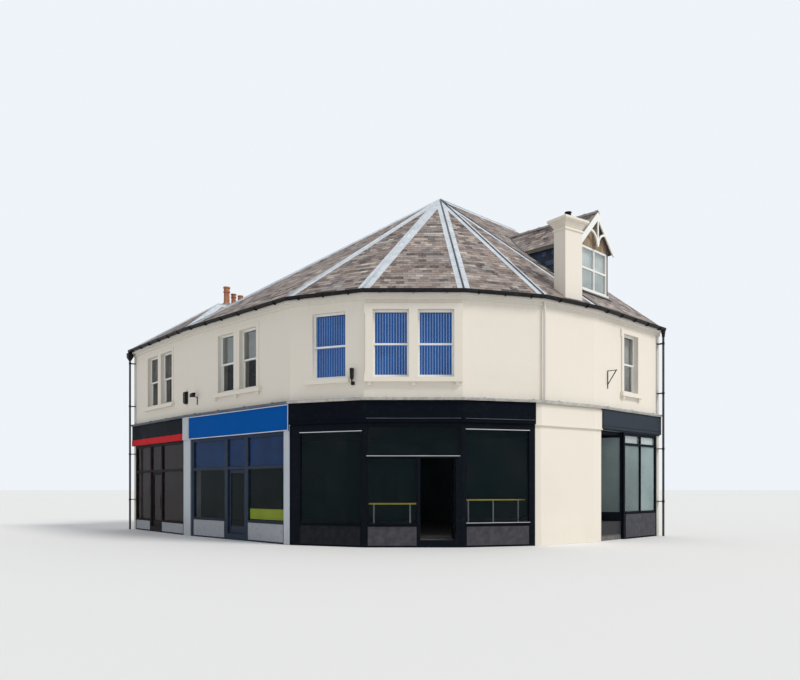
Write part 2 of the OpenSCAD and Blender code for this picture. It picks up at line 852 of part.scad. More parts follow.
module chimney_pots() {
    z = brick_stack_top_z;
    pot_gap = 350;
    color("peru") {
        for (p = [[0, 150, 740], [1, 125, 500], [2, 130, 490]])
            on_face(10) translate([
                face_len(10) - brick_stack_y - brick_stack_len / 2 + (1 - p[0]) * pot_gap,
                brick_stack_w / 2, z]) pot(p[1], p[2]);
    }
}

// Low metal cowl with a louvred drum under a flat lid
module stack_cowl() {
    r = 95;
    color("black") on_face(5) translate([stack_x + stack_w / 2, stack_d / 2, stack_top_z])
        rotate_extrude() polygon([
            [0, 0], [r * 0.75, 0], [r * 0.75, 110], [r, 120], [r, 135], [r * 0.82, 135],
            [r * 0.82, 155], [r, 170], [r * 0.82, 175], [r * 0.82, 195], [r, 210],
            [r * 0.82, 215], [r * 0.82, 235], [r * 1.12, 250], [r * 1.12, 265], [0, 285]
        ]);
}

// Eaves and rainwater goods

module eaves_boards() {
    color("gainsboro") {
        slab(band(0, 0, 6, right_front_len, board_y, -eave_out - seat), soffit_z, eave_z - 15);
        slab(band(0, 0, 6, right_front_len, -eave_out - seat, -seat), soffit_z, soffit_z + 25);
        slab(band(0, 0, 6, right_front_len, -45, -seat), soffit_z - 100, soffit_z);
    }
}

// Half-round profile swept along the street faces, with a mitre at each corner
module gutters() {
    steps = 10;
    arc = [for (j = [0 : steps]) 180 + j * 180 / steps];
    profile = concat(
        [for (a = arc) [gutter_y + gutter_r * cos(a), gutter_z + gutter_r * sin(a)]],
        [for (a = arc) [gutter_y - (gutter_r - gutter_t) * cos(a),
                        gutter_z + (gutter_r - gutter_t) * sin(a)]]);
    n = len(profile);
    stations = 7;
    function station(s, y) = s == 0 ? at(0, 0, y)
        : s == stations ? at(6, right_front_len, y) : inset(s, y, y);
    color("black") polyhedron(
        points = [for (s = [0 : stations]) for (q = profile)
                  let (p = station(s, q[0])) [p.x, p.y, q[1]]],
        faces = concat(
            [for (s = [0 : stations - 1]) for (j = [0 : n - 1])
                let (a = s * n + j, b = s * n + (j + 1) % n) each [[a, b, b + n], [a, b + n, a + n]]],
            [for (j = [0 : steps - 1]) let (m = n - 1 - j) each [[j, m, m - 1], [j, m - 1, j + 1]]],
            [for (j = [0 : steps - 1]) let (o = stations * n, m = n - 1 - j)
                each [[o + j, o + m - 1, o + m], [o + j, o + j + 1, o + m - 1]]]
        ));
}

module pipe(i, x, y, z0, z1) {
    on_face(i) translate([x, y, z0]) cylinder(r = pipe_r, h = z1 - z0);
}

module downpipes() {
    top = gutter_z - gutter_r;
    color("black") {
        pipe(6, right_front_len - 110, gutter_y, 0, top);
        pipe(0, 110, gutter_y, 0, top);
        pipe(5, 60, -fascia_out - 10, cornice_top_z + seat, soffit_z - seat);
    }
}

// Windows

// Flat margin round the windows of face i, from x0 to x1, with a small ear at each top corner
module margin(i, x0, x1, proud, ear) {
    panel(i, -proud - seat, -seat) difference() {
        union() {
            rect(x0, x1, sill_z, head_z + margin_w);
            rect(x0 - ear, x1 + ear, head_z - margin_w + 20, head_z + margin_w);
        }
        for (w = upper_windows[i]) rect(w[0], w[0] + w[1], sill_z - over, head_z);
    }
}

// Stone sill of face i from x0 to x1, on small consoles at the given places
module stone_sill(i, x0, x1, consoles) {
    panel(i, -sill_out - seat, -seat) rect(x0, x1, sill_z - sill_h, sill_z);
    for (x = consoles)
        panel(i, -console_out - seat, -seat)
            rect(x - console_w / 2, x + console_w / 2, sill_z - sill_h - console_h,
                 sill_z - sill_h);
}

module window_dressings() {
    proud = 60;
    lug_h = 110;
    bay_x1 = bay_win_x + 2 * bay_win_w + bay_win_gap;
    left_x1 = left_win_x + 2 * left_win_w + left_win_gap;
    right_x1 = right_win_x + right_win_w;
    color("seashell") {
        // Raised surround of the pair over the entrance, with ears at its head and foot
        panel(3, -proud - seat, -seat) difference() {
            union() {
                rect(35, corner_front_len - 35, sill_z, head_z + 165);
                rect(5, corner_front_len - 5, head_z - 130, head_z + 165);
                rect(5, corner_front_len - 5, sill_z, sill_z + lug_h);
            }
            for (w = upper_windows[3]) rect(w[0], w[0] + w[1], sill_z - over, head_z);
        }
        stone_sill(3, 5, corner_front_len - 5,
                   [150, corner_front_len / 2, corner_front_len - 150]);
        stone_sill(2, corner_win_x - 190, corner_win_x + corner_win_w + 150, []);
        margin(1, left_win_x - margin_w, left_x1 + margin_w, margin_out, 0);
        stone_sill(1, left_win_x - 250, left_x1 + 250,
                   [left_win_x - 120, (left_win_x + left_x1) / 2, left_x1 + 120]);
        margin(0, bay_win_x - margin_w, bay_x1 + margin_w, margin_out, 0);
        stone_sill(0, bay_win_x - 200, bay_x1 + 200, []);
        margin(6, right_win_x - margin_w, right_x1 + margin_w, 2 * margin_out, 40);
        stone_sill(6, right_win_x - 190, right_x1 + 190, [right_win_x - 60, right_x1 + 60]);
    }
}

// A box frame with its two sliding sashes
module sash_window(i, x, w, z0, z1) {
    mid = (z0 + z1) / 2;
    half = meeting_h / 2;
    panel(i, reveal, reveal + box_frame_d) difference() {
        rect(x, x + w, z0, z1);
        rect(x + stile_w, x + w - stile_w, z0 + stile_w, z1 - stile_w);
    }
    panel(i, sash_out_y, sash_in_y) difference() {
        rect(x + stile_w, x + w - stile_w, mid - half, z1 - stile_w);
        rect(x + stile_w + rail_w, x + w - stile_w - rail_w, mid + half, z1 - stile_w - rail_w);
    }
    panel(i, sash_in_y, sash_in_y + sash_t) difference() {
        rect(x + stile_w, x + w - stile_w, z0 + stile_w, mid + half);
        rect(x + stile_w + rail_w, x + w - stile_w - rail_w,
             z0 + stile_w + foot_rail_h, mid - half);
    }
}

module sash_windows() {
    color("white") {
        for (i = [0 : 9]) for (w = upper_windows[i])
            sash_window(i, w[0], w[1], sill_z, head_z);
        for (i = [8, 9]) for (w = upper_windows[i])
            sash_window(i, w[0], w[1], rear_sill_z, rear_head_z);
    }
}

module sash_panes(i, x, w, z0, z1) {
    mid = (z0 + z1) / 2;
    side = stile_w + rail_w;
    pane_t = 6;
    panel(i, sash_out_y + sash_t / 2 - pane_t / 2, sash_out_y + sash_t / 2 + pane_t / 2)
        rect(x + side, x + w - side, mid + meeting_h / 2, z1 - side);
    panel(i, sash_in_y + sash_t / 2 - pane_t / 2, sash_in_y + sash_t / 2 + pane_t / 2)
        rect(x + side, x + w - side, z0 + stile_w + foot_rail_h, mid - meeting_h / 2);
}

module upper_glass() {
    color("lightblue") {
        for (i = [0 : 9]) for (w = upper_windows[i])
            sash_panes(i, w[0], w[1], sill_z, head_z);
        for (i = [8, 9]) for (w = upper_windows[i])
            sash_panes(i, w[0], w[1], rear_sill_z, rear_head_z);
        for (s = [0, 1], t = [0, 1])
            panel(6, dormer_back + 42, dormer_back + 48)
                rect(dormer_pane(s)[0], dormer_pane(s)[1],
                     dormer_pane_z(t)[0], dormer_pane_z(t)[1]);
    }
}

// Outline of depth y and height z, made w wide about x on face i
module side_profile(i, x, w) {
    on_face(i) translate([x - w / 2, 0, 0]) rotate([90, 0, 90]) linear_extrude(w) children();
}

// Iron bracket with a diagonal stay, for a hanging board
module board_bracket(i, x, z) {
    bar = 22;
    reach = 330;
    side_profile(i, x, bar) {
        rect(-bar - seat, -seat, z, z + 560);
        rect(-reach, -seat, z + 560 - bar, z + 560);
        polygon([
            [-bar, z + 120], [-bar, z + 152],
            [-reach * 0.85, z + 562 - bar], [-reach * 0.95, z + 562 - bar]
        ]);
    }
}

// Lamp whose bell-shaped head stands on a short bracket
module wall_lamp(i, x, z) {
    side_profile(i, x, 90) rect(-70 - seat, -seat, z, z + 90);
    side_profile(i, x, 24) rect(-110, -45, z + 60, z + 84);
    on_face(i) translate([x, -98, z + 70]) rotate_extrude() polygon([
        [0, 0], [16, 0], [16, 60], [42, 84], [55, 130], [60, 330], [66, 345], [66, 370],
        [40, 392], [0, 400]
    ]);
}

// Flood lamp on an arm, turned down towards the fascia
module flood_lamp(i, x, z) {
    side_profile(i, x, 24) {
        rect(-24 - seat, -seat, z, z + 270);
        rect(-200, -seat, z + 246, z + 270);
    }
    side_profile(i, x, 150) polygon([
        [-255, z + 235], [-135, z + 252], [-112, z + 385], [-160, z + 400], [-245, z + 365]
    ]);
}

module wall_fittings() {
    color("black") {
        board_bracket(6, 810, 4740);
        wall_lamp(2, corner_left_len - 330, 4520);
        flood_lamp(1, 560, 4470);
        // Weatherproof box near the change of shop
        side_profile(0, bay_front_len - 190, 170) polygon([
            [-seat, 4550], [-80, 4560], [-108, 4600], [-112, 4930], [-90, 4972], [-seat, 4980]
        ]);
    }
}

// Shopfronts

module shop_cornice() {
    color("slategray") {
        slab(band(0, 0, 6, right_front_len, -fascia_out - 50, -seat),
             fascia_top_z, fascia_top_z + 35);
        slab(band(0, 0, 6, right_front_len, -fascia_out - 90, -seat),
             fascia_top_z + 35, cornice_top_z);
    }
}

module black_fascias() {
    corner_foot = corner_head_z + 30;
    color("black") {
        slab(band(0, 0, 0, bay_front_len - pilaster_w, -fascia_out, -seat),
             shop_head_z, fascia_top_z);
        slab(band(2, 0, 4, corner_right_len - pier_wrap - seat, -fascia_out, -seat),
             corner_foot, fascia_top_z);
        slab(band(6, right_pier_w + seat, 6, right_front_len, -fascia_out, -seat),
             corner_foot, fascia_top_z);
    }
}

module blue_fascia() {
    color("royalblue")
        slab(band(1, pilaster_w / 4 + seat, 1, left_front_len - 60, -fascia_out, -seat),
             shop_head_z, fascia_top_z);
}

// The frame of one face, with its lights and doorway cut out
module shop_frame(i, x0, x1, door_x) {
    panel(i, -frame_out, frame_in) difference() {
        rect(x0, x1, 0, head_z_of[i] - seat);
        for (l = shop_lights[i]) rect(l[0], l[1], l[2], l[3]);
        if (door_x > 0)
            rect(door_x, door_x + door_w, floor_z,
                 i == 3 ? corner_transom_z : transom_z);
    }
}

module shop_post(a, xa, b, xb, z1) {
    slab(band(a, xa, b, xb, -frame_out - post_proud, frame_in - post_proud), 0, z1);
}

module left_shopfront() {
    color("darkslategray")
        shop_frame(0, bay_party_x + 2 * seat, bay_front_len - pilaster_w - seat, left_door_x);
}

module second_shopfront() {
    color("slategray")
        shop_frame(1, pilaster_w / 2 + seat, left_front_len - end_pilaster_w - seat,
                   second_door_x);
}

module corner_shopfront() {
    mitre = tan((head[2] - head[1]) / 2);
    front = -frame_out - post_proud;
    back = frame_in - post_proud;
    color("black") {
        shop_frame(2, post_w / 4, corner_left_len - post_w / 4, 0);
        shop_frame(3, post_w / 4, corner_front_len - post_w / 4, corner_door_x);
        shop_frame(4, post_w / 4, corner_right_len - pier_wrap - seat, 0);
        slab([for (q = [[0, front], [post_w / 2, front], [post_w / 2, back], [0, back]])
                 at(2, q[0] > 0 ? q[0] : q[1] * mitre + 2 * seat, q[1])], 0, corner_head_z);
        shop_post(2, corner_left_len - post_w / 2, 3, post_w / 2, corner_head_z);
        shop_post(3, corner_front_len - post_w / 2, 4, post_w / 2, corner_head_z);
    }
}

// A flat outline in the plane of the lobby's canted side, which runs back from the corner post
module lobby_side(d0, d1) {
    on_face(6) translate([lobby_w - lobby_post, lobby_post, 0])
        rotate([0, 0, atan2(lobby_d - lobby_post, lobby_back_x - lobby_w + lobby_post)])
            translate([0, d1, 0]) rotate([90, 0, 0]) linear_extrude(d1 - d0) children();
}

module right_shopfront() {
    foot = raised_floor_z + seat;
    side_len = norm([lobby_d - lobby_post, lobby_back_x - lobby_w + lobby_post]);
    color("black") {
        shop_frame(6, lobby_w - post_w, right_front_len - in_party, 0);
        // Canted glazed side of the lobby
        lobby_side(-screen_t / 2, screen_t / 2) difference() {
            rect(0, side_len, foot, corner_head_z - 5);
            rect(lobby_light[0], lobby_light[1], right_riser_z, lobby_head_z);
        }
        // Back of the lobby, with its door shut and fixed
        panel(6, lobby_d - screen_t / 2, lobby_d + screen_t / 2) difference() {
            rect(right_pier_w - 50, lobby_back_x + post_w / 2, foot + 6, corner_head_z - 3);
            rect(back_light[0], back_light[1], back_light[2], back_light[3]);
            rect(back_light[0], back_light[1], back_light[3] + 150, lobby_head_z);
        }
        slab([for (q = [[-1, -1], [1, -1], [1, 1], [-1, 1]])
                 at(6, lobby_back_x + q[0] * post_w / 2, lobby_d + q[1] * post_w / 2)],
             foot + 2, corner_head_z - 8);
        // Plain side behind the pier
        slab([at(6, right_pier_w - 70, in_wall), at(6, right_pier_w, in_wall),
              at(6, right_pier_w, lobby_d), at(6, right_pier_w - 70, lobby_d)],
             foot + 4, corner_head_z - 10);
        // Ceiling of the lobby
        slab([at(6, right_pier_w + seat, frame_in + 20), at(6, lobby_w - post_w / 2, frame_in + 20),
              at(6, lobby_back_x + 20, lobby_d), at(6, right_pier_w - 40, lobby_d),
              at(6, right_pier_w - 40, in_wall + 20), at(6, right_pier_w + seat, in_wall + 20)],
             lobby_head_z + 60, corner_head_z - 20);
    }
}

module shop_glass() {
    color("lightblue") for (i = [0, 1, 2, 3, 4, 6]) for (l = shop_lights[i])
        panel(i, glass_y, glass_y + glass_t) rect(l[0], l[1], l[2], l[3]);
    color("lightblue") {
        lobby_side(-glass_t / 2, glass_t / 2)
            rect(lobby_light[0], lobby_light[1], right_riser_z, lobby_head_z);
        panel(6, lobby_d - glass_t / 2, lobby_d + glass_t / 2) {
            rect(back_light[0], back_light[1], back_light[2], back_light[3]);
            rect(back_light[0], back_light[1], back_light[3] + 150, lobby_head_z);
        }
    }
}

module shop_pier_blocks(extra) {
    slab(band(0, bay_front_len - pilaster_w, 1, pilaster_w / 2, -60, wall_t),
         -extra, shop_head_z);
    slab([at(1, left_front_len - end_pilaster_w, -60), inset(2, -60, -60),
          inset(2, wall_t, wall_t), at(1, left_front_len - end_pilaster_w, wall_t)],
         -extra, shop_head_z);
}

module shop_piers() {
    color("lightgray") {
        shop_pier_blocks(0);
        // Head of the pilaster between the two left fascias
        slab(band(0, bay_front_len - pilaster_w + seat, 1, pilaster_w / 4,
                  -fascia_out - 20, -seat), shop_head_z, fascia_top_z - seat);
    }
}

// Doors: hinged on a jamb at the frame's inner face

module leaf_outline(z1) {
    bottom = floor_z + door_gap;
    top = z1 - door_gap;
    difference() {
        rect(0, leaf_w, bottom, top);
        rect(110, leaf_w - 110, bottom + 230, top - 110);
    }
}

module door_leaf(z1) {
    rotate([90, 0, 0]) linear_extrude(leaf_t) leaf_outline(z1);
    for (z = [floor_z + 250, z1 - 350])
        translate([0, 0, z]) cylinder(r = knuckle_r, h = 100);
    // Pull bar on two stand-offs near the free edge
    for (z = [1000, 1400])
        translate([leaf_w - 60, -leaf_t, z]) rotate([90, 0, 0]) cylinder(r = 8, h = 45);
    translate([leaf_w - 60, -leaf_t - 53, 950]) cylinder(r = 12, h = 500);
}

module leaf_glass(z1) {
    bottom = floor_z + door_gap;
    top = z1 - door_gap;
    translate([0, -leaf_t / 2 + 4, 0]) rotate([90, 0, 0]) linear_extrude(8)
        rect(110, leaf_w - 110, bottom + 230, top - 110);
}

module hung(i, x, turn) {
    on_face(i) translate([x, frame_in, 0]) rotate([0, 0, turn]) children();
}

module left_shop_door() {
    color("darkslategray") hung(0, left_door_x + door_gap, 0) door_leaf(transom_z);
}

module left_door_glass() {
    color("lightblue") hung(0, left_door_x + door_gap, 0) leaf_glass(transom_z);
}

module second_shop_door() {
    color("slategray") hung(1, second_door_x + door_gap, 0) door_leaf(transom_z);
}

module second_door_glass() {
    color("lightblue") hung(1, second_door_x + door_gap, 0) leaf_glass(transom_z);
}

// The entrance door is hung on the right jamb and stands open
module corner_shop_door() {
    color("black") hung(3, corner_door_x + door_w - door_gap, -90)
        mirror([1, 0, 0]) door_leaf(corner_transom_z);
}

module corner_door_glass() {
    color("lightblue") hung(3, corner_door_x + door_w - door_gap, -90)
        mirror([1, 0, 0]) leaf_glass(corner_transom_z);
}

ground_floor();
first_floor();
attic_floor();
left_bay_wall();
left_wall();
corner_left_wall();
corner_front_wall();
corner_right_wall();
pier_wall();
right_wall();
left_party_wall();
right_party_wall();
rear_wall();
left_bay_rear_wall();
left_roof_slope();
corner_roof();
right_roof_slope();
rear_roof_slope();
left_bay_roof();
roof_leads();
dormer_walls();
dormer_roof();
dormer_window();
dormer_bargeboards();
right_chimney();
stack_cowl();
left_chimney();
chimney_pots();
eaves_boards();
gutters();
downpipes();
window_dressings();
sash_windows();
upper_glass();
wall_fittings();
shop_cornice();
black_fascias();
blue_fascia();
left_shopfront();
second_shopfront();
corner_shopfront();
right_shopfront();
shop_glass();
shop_piers();
left_shop_door();
left_door_glass();
second_shop_door();
second_door_glass();
corner_shop_door();
corner_door_glass();
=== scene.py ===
import math

import bpy
import numpy as np
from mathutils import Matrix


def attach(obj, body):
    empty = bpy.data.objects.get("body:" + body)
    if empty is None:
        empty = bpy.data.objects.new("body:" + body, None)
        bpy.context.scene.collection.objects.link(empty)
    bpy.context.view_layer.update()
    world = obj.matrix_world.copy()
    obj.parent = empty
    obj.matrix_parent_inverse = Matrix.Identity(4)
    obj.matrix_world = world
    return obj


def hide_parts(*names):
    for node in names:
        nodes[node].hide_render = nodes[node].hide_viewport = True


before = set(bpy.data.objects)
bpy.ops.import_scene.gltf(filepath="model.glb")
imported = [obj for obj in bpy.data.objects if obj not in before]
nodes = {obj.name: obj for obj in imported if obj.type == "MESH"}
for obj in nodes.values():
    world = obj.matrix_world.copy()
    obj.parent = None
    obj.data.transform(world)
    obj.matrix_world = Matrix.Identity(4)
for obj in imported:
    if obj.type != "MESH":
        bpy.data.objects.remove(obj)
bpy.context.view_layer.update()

print("frame loaded:", len(nodes), "pieces")

# the plan as the frame has it: eleven faces, each from its corner along its heading in degrees,
# walked with the building on the left hand; 0 to 6 are the street's
heads = [-50.5, -45, -22.5, 0, 16, 35, 45, 135, 225, 135, 225]
corners = np.array([
    (-11.0157, 9.0868), (-7.6445, 4.9972), (-3.5504, 0.9031), (-1.37, 0.0),
    (1.37, 0.0), (3.6578, 0.656), (5.5173, 1.958), (8.5649, 5.0056),
    (0.4644, 13.1061), (-2.5533, 10.0884), (-6.2837, 13.8188)])
eaveOut, eaveZ = 0.13, 7.13
ridgeZ, bayRidgeZ = 12.0, 8.91


def along(i):
    return np.array([math.cos(math.radians(heads[i])), math.sin(math.radians(heads[i]))])


def inward(i):
    return np.array([-math.sin(math.radians(heads[i])), math.cos(math.radians(heads[i]))])


def faceLength(i):
    return float(np.linalg.norm(corners[(i + 1) % len(corners)] - corners[i]))


def onFace(i, x, y, z):
    # point = corner + x * along + y * inward, at height z; x, y and z may be arrays
    x, y, z = np.broadcast_arrays(np.asarray(x, float), y, z)
    flat = corners[i] + x[..., None] * along(i) + y[..., None] * inward(i)
    return np.concatenate([flat, z[..., None]], axis=-1)


def meet(p, u, q, v):
    # where the line from p along u crosses the line from q along v
    s = np.linalg.solve(np.array([u, -np.asarray(v)]).T, np.asarray(q) - p)
    return p + s[0] * np.asarray(u)


def inset(i, dBefore, dAfter):
    # corner i of an outline that lies dBefore and dAfter inside the two faces that meet there
    b = (i - 1) % len(corners)
    before, after = corners[i] + dBefore * inward(b), corners[i] + dAfter * inward(i)
    return meet(before, along(b), after, along(i))


def unit(v):
    v = np.asarray(v, float)
    return v / np.linalg.norm(v, axis=-1, keepdims=True)


def newObject(name, data):
    made = bpy.data.objects.new(name, data)
    bpy.context.scene.collection.objects.link(made)
    return made


def addPiece(name, parts, slotName, material, smooth=False, tone=None):
    # parts are (points, quads, longer outlines); they follow each other in one mesh that rides on
    # the building, and tone is a value for each of its points
    points, quads, caps, count = [], [], [], 0
    for p, f, c in parts:
        points.append(np.reshape(p, (-1, 3)))
        quads += (np.reshape(f, (-1, 4)) + count).tolist()
        caps += [(np.array(o) + count).tolist() for o in c]
        count += len(points[-1])
    mesh = bpy.data.meshes.new(name)
    mesh.from_pydata(np.concatenate(points), [], quads + caps)
    if smooth:
        mesh.shade_smooth()
    if tone is not None:
        values = mesh.attributes.new("tone", "FLOAT", "POINT").data
        values.foreach_set("value", tone.astype(np.float32))
    mesh.validate()
    mesh.materials.append(material)
    piece = newObject(name, mesh)
    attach(piece, "building")
    return piece


boxQuads = np.array([
    (0, 3, 2, 1), (4, 5, 6, 7), (0, 1, 5, 4), (1, 2, 6, 5), (2, 3, 7, 6), (3, 0, 4, 7)])


def prisms(low, high):
    # many closed blocks at once: low and high are (n, 4, 3) outlines, counter-clockwise from above
    points = np.concatenate([low, high], axis=1)
    quads = boxQuads[None] + 8 * np.arange(len(points))[:, None, None]
    return points.reshape(-1, 3), quads.reshape(-1, 4), []


def ringPrisms(i, ring, z0, z1):
    # blocks between the heights z0 and z1 over four (x, y) corners in the frame of face i
    low = np.stack([onFace(i, x, y, z0) for x, y in ring], axis=1)
    high = np.stack([onFace(i, x, y, z1) for x, y in ring], axis=1)
    return prisms(low, high)


def faceBox(i, x0, x1, y0, y1, z0, z1):
    # upright blocks in the frame of face i: any of the six values may be an array
    x0, x1, y0, y1, z0, z1 = np.atleast_1d(*np.broadcast_arrays(x0, x1, y0, y1, z0, z1))
    return ringPrisms(i, [(x0, y0), (x1, y0), (x1, y1), (x0, y1)], z0, z1)


def border(i, x0, x1, z0, z1, y0, y1, w):
    # four bars w wide just inside the outline x0 to x1, z0 to z1
    left, right = [x0, x1 - w, x0 + w, x0 + w], [x0 + w, x1, x1 - w, x1 - w]
    return faceBox(i, left, right, y0, y1, [z0, z0, z0, z1 - w], [z1, z1, z0 + w, z1])


def sweep(path, profile, up=(0, 0, 1)):
    # profile (m, 2) carried along path (n, 3): point = path + a * side + b * lift, where side is
    # heading x up, and each inner station is stretched by 1 / cos of half its turn, a mitre
    path = np.asarray(path, float)
    step = unit(np.diff(path, axis=0))
    before = np.concatenate([step[:1], step])
    after = np.concatenate([step, step[-1:]])
    heading = unit(before + after)
    side = unit(np.cross(heading, np.asarray(up, float)))
    lift = np.cross(side, heading)
    stretch = 1 / np.maximum(0.3, np.sum(heading * after, axis=1))
    turnAxis = np.cross(before, after)
    flatTurn = np.abs(np.sum(turnAxis * lift, axis=1)) >= np.abs(np.sum(turnAxis * side, axis=1))
    a, b = np.asarray(profile, float).T
    ka = np.where(flatTurn, stretch, 1.0)[:, None]
    kb = np.where(flatTurn, 1.0, stretch)[:, None]
    points = path[:, None] + (ka * a)[..., None] * side[:, None]
    points = points + (kb * b)[..., None] * lift[:, None]
    n, m = len(path), len(a)
    r, c = np.meshgrid(np.arange(n - 1), np.arange(m), indexing="ij")
    d = (c + 1) % m
    quads = np.stack([r * m + d, r * m + c, (r + 1) * m + c, (r + 1) * m + d], axis=-1)
    return points, quads, [list(range(m)), list(range((n - 1) * m, n * m))[::-1]]


def arc(radius, start, end, count):
    # (r * cos t, r * sin t), t from start to end in degrees
    t = np.radians(np.linspace(start, end, count))
    return np.stack([radius * np.cos(t), radius * np.sin(t)], axis=1)


def ringOf(radius, count):
    return arc(radius, 0, 360, count + 1)[:-1]


def upright(i, x, y, z0, z1, radius, count):
    # a round bar standing at one place of face i
    return sweep(onFace(i, x, y, [z0, z1]), ringOf(radius, count), up=(0, 1, 0))


def streetLine(a, xa, b, xb, y, z):
    # a level line along faces a to b at depth y, with its corner points on the mitres
    inner = [np.append(inset(i, y, y), z) for i in range(a + 1, b + 1)]
    return np.array([onFace(a, xa, y, z)] + inner + [onFace(b, xb, y, z)])


class Wire:
    # one socket of a material: + - * on it add Math nodes
    def __init__(self, tree, socket=None):
        self.tree, self.socket = tree, socket

    def add(self, kind, settings=None, values=None, out=0):
        made = self.tree.nodes.new(kind)
        for name, value in (settings or {}).items():
            if name == "stops":
                ramp = made.color_ramp
                for k, (place, colour) in enumerate(value):
                    stop = ramp.elements[k] if k < 2 else ramp.elements.new(place)
                    stop.position = place
                    stop.color = (*colour, 1)
            else:
                setattr(made, name, value)
        for name, value in (values or {}).items():
            socket = made.inputs[name]
            if isinstance(value, Wire):
                self.tree.links.new(value.socket, socket)
            else:
                socket.default_value = (*value, 1) if socket.type == "RGBA" else value
        return Wire(self.tree, made.outputs[out])

    def maths(self, operation, *parts):
        return self.add("ShaderNodeMath", {"operation": operation}, dict(enumerate(parts)))

    __add__ = __radd__ = lambda self, other: self.maths("ADD", self, other)
    __mul__ = __rmul__ = lambda self, other: self.maths("MULTIPLY", self, other)
    __sub__ = lambda self, other: self.maths("SUBTRACT", self, other)
    __rsub__ = lambda self, other: self.maths("SUBTRACT", other, self)

    def stretched(self, x, y, z):
        return self.add("ShaderNodeVectorMath", {"operation": "MULTIPLY"}, {0: self, 1: (x, y, z)})

    def turned(self, degrees):
        turn = (0, 0, math.radians(degrees))
        return self.add("ShaderNodeMapping", {}, {"Vector": self, "Rotation": turn})

    def noise(self, scale, detail=3.0, rough=0.5):
        values = {"Vector": self, "Scale": scale, "Detail": detail, "Roughness": rough}
        return self.add("ShaderNodeTexNoise", {}, values)

    def ownTone(self):
        # the value that a slate or brick carries
        return self.add("ShaderNodeAttribute", {"attribute_name": "tone"}, {}, "Fac")

    def axis(self, name):
        return self.add("ShaderNodeSeparateXYZ", {}, {0: self}, name)

    def between(self, low, high):
        # 0 below low, 1 above high, smooth between
        return self.add("ShaderNodeMapRange", {"interpolation_type": "SMOOTHSTEP"},
                        {"Value": self, "From Min": low, "From Max": high})

    def band(self, low, full, fall, gone):
        # rises from low to full, falls from fall to gone
        return self.between(low, full) * (1 - self.between(fall, gone))

    def blend(self, first, second):
        # this value as the factor between two colours
        return self.add("ShaderNodeMix", {"data_type": "RGBA"}, {0: self, 6: first, 7: second}, 2)

    def ramp(self, *stops):
        return self.add("ShaderNodeValToRGB", {"stops": stops}, {0: self})

    def tones(self, dark, pale):
        return self.ramp((0.3, dark), (0.7, pale))

    def times(self, amount):
        # a colour made darker or paler by a value
        return self.add("ShaderNodeVectorMath", {"operation": "SCALE"}, {0: self, "Scale": amount})


def finish(name, paint, **fixed):
    # paint gets the Object coordinates and returns the colour, the roughness, the bump as height
    # and distance, and any other socket that varies by its name
    material = bpy.data.materials.new(name)
    material.use_nodes = True
    tree = material.node_tree
    shader = tree.nodes["Principled BSDF"]
    for socket, value in fixed.items():
        shader.inputs[socket.replace("_", " ")].default_value = value
    place = Wire(tree).add("ShaderNodeTexCoord", out="Object")
    colour, rough, bump, *others = paint(place)
    sockets = {"Base Color": colour, "Roughness": rough, **dict(*others)}
    if bump:
        values = {"Height": bump[0], "Distance": bump[1], "Strength": 1.0}
        sockets["Normal"] = place.add("ShaderNodeBump", {}, values)
    for socket, value in sockets.items():
        if isinstance(value, Wire):
            tree.links.new(value.socket, shader.inputs[socket])
        else:
            shader.inputs[socket].default_value = value
    return material


def dress(material, *names):
    for name in names:
        nodes[name].data.materials.clear()
        nodes[name].data.materials.append(material)


def mottled(name, dark, pale, grain, rough, bump=None, stretch=None, over=None, **fixed):
    # two tones by one noise (scale, detail), roughness as base and span of a second (scale), and
    # bump from a third (scale, depth); over paints on top of the tones
    def paint(place):
        lane = place.stretched(*stretch) if stretch else place
        colour = lane.noise(*grain).tones(dark, pale)
        if over:
            colour = over(place, colour)
        dull = rough[0] + rough[1] * place.noise(rough[2]) if len(rough) > 1 else rough[0]
        return colour, dull, bump and (place.noise(bump[0]), bump[1])
    return finish(name, paint, **fixed)


# paint, stain, how much of it; the wet bands as heights where they start, are full, fall and end
renderLook = {
    "cream_render_paint": ((0.8, 0.745, 0.655), (0.56, 0.52, 0.45), 0.42),
    "eaves_board_paint": ((0.74, 0.7, 0.63), (0.52, 0.49, 0.44), 0.5),
    "pale_stone_paint": ((0.52, 0.56, 0.6), (0.33, 0.35, 0.37), 1.2),
    "sides": ((0.66, 0.63, 0.56), (0.42, 0.4, 0.35), 0.9, (0.0, 0.0)),
    "eaves": (6.35, 6.95, 7.0, 7.3), "cornice": (4.05, 4.12, 4.14, 4.42), "foot": (0.05, 0.75),
    # plaster: the dark inside colour of the walls, painted shade for the dim rooms
    "grain": 260.0, "plaster": ((0.034, 0.056, 0.062), (0.056, 0.086, 0.092))}


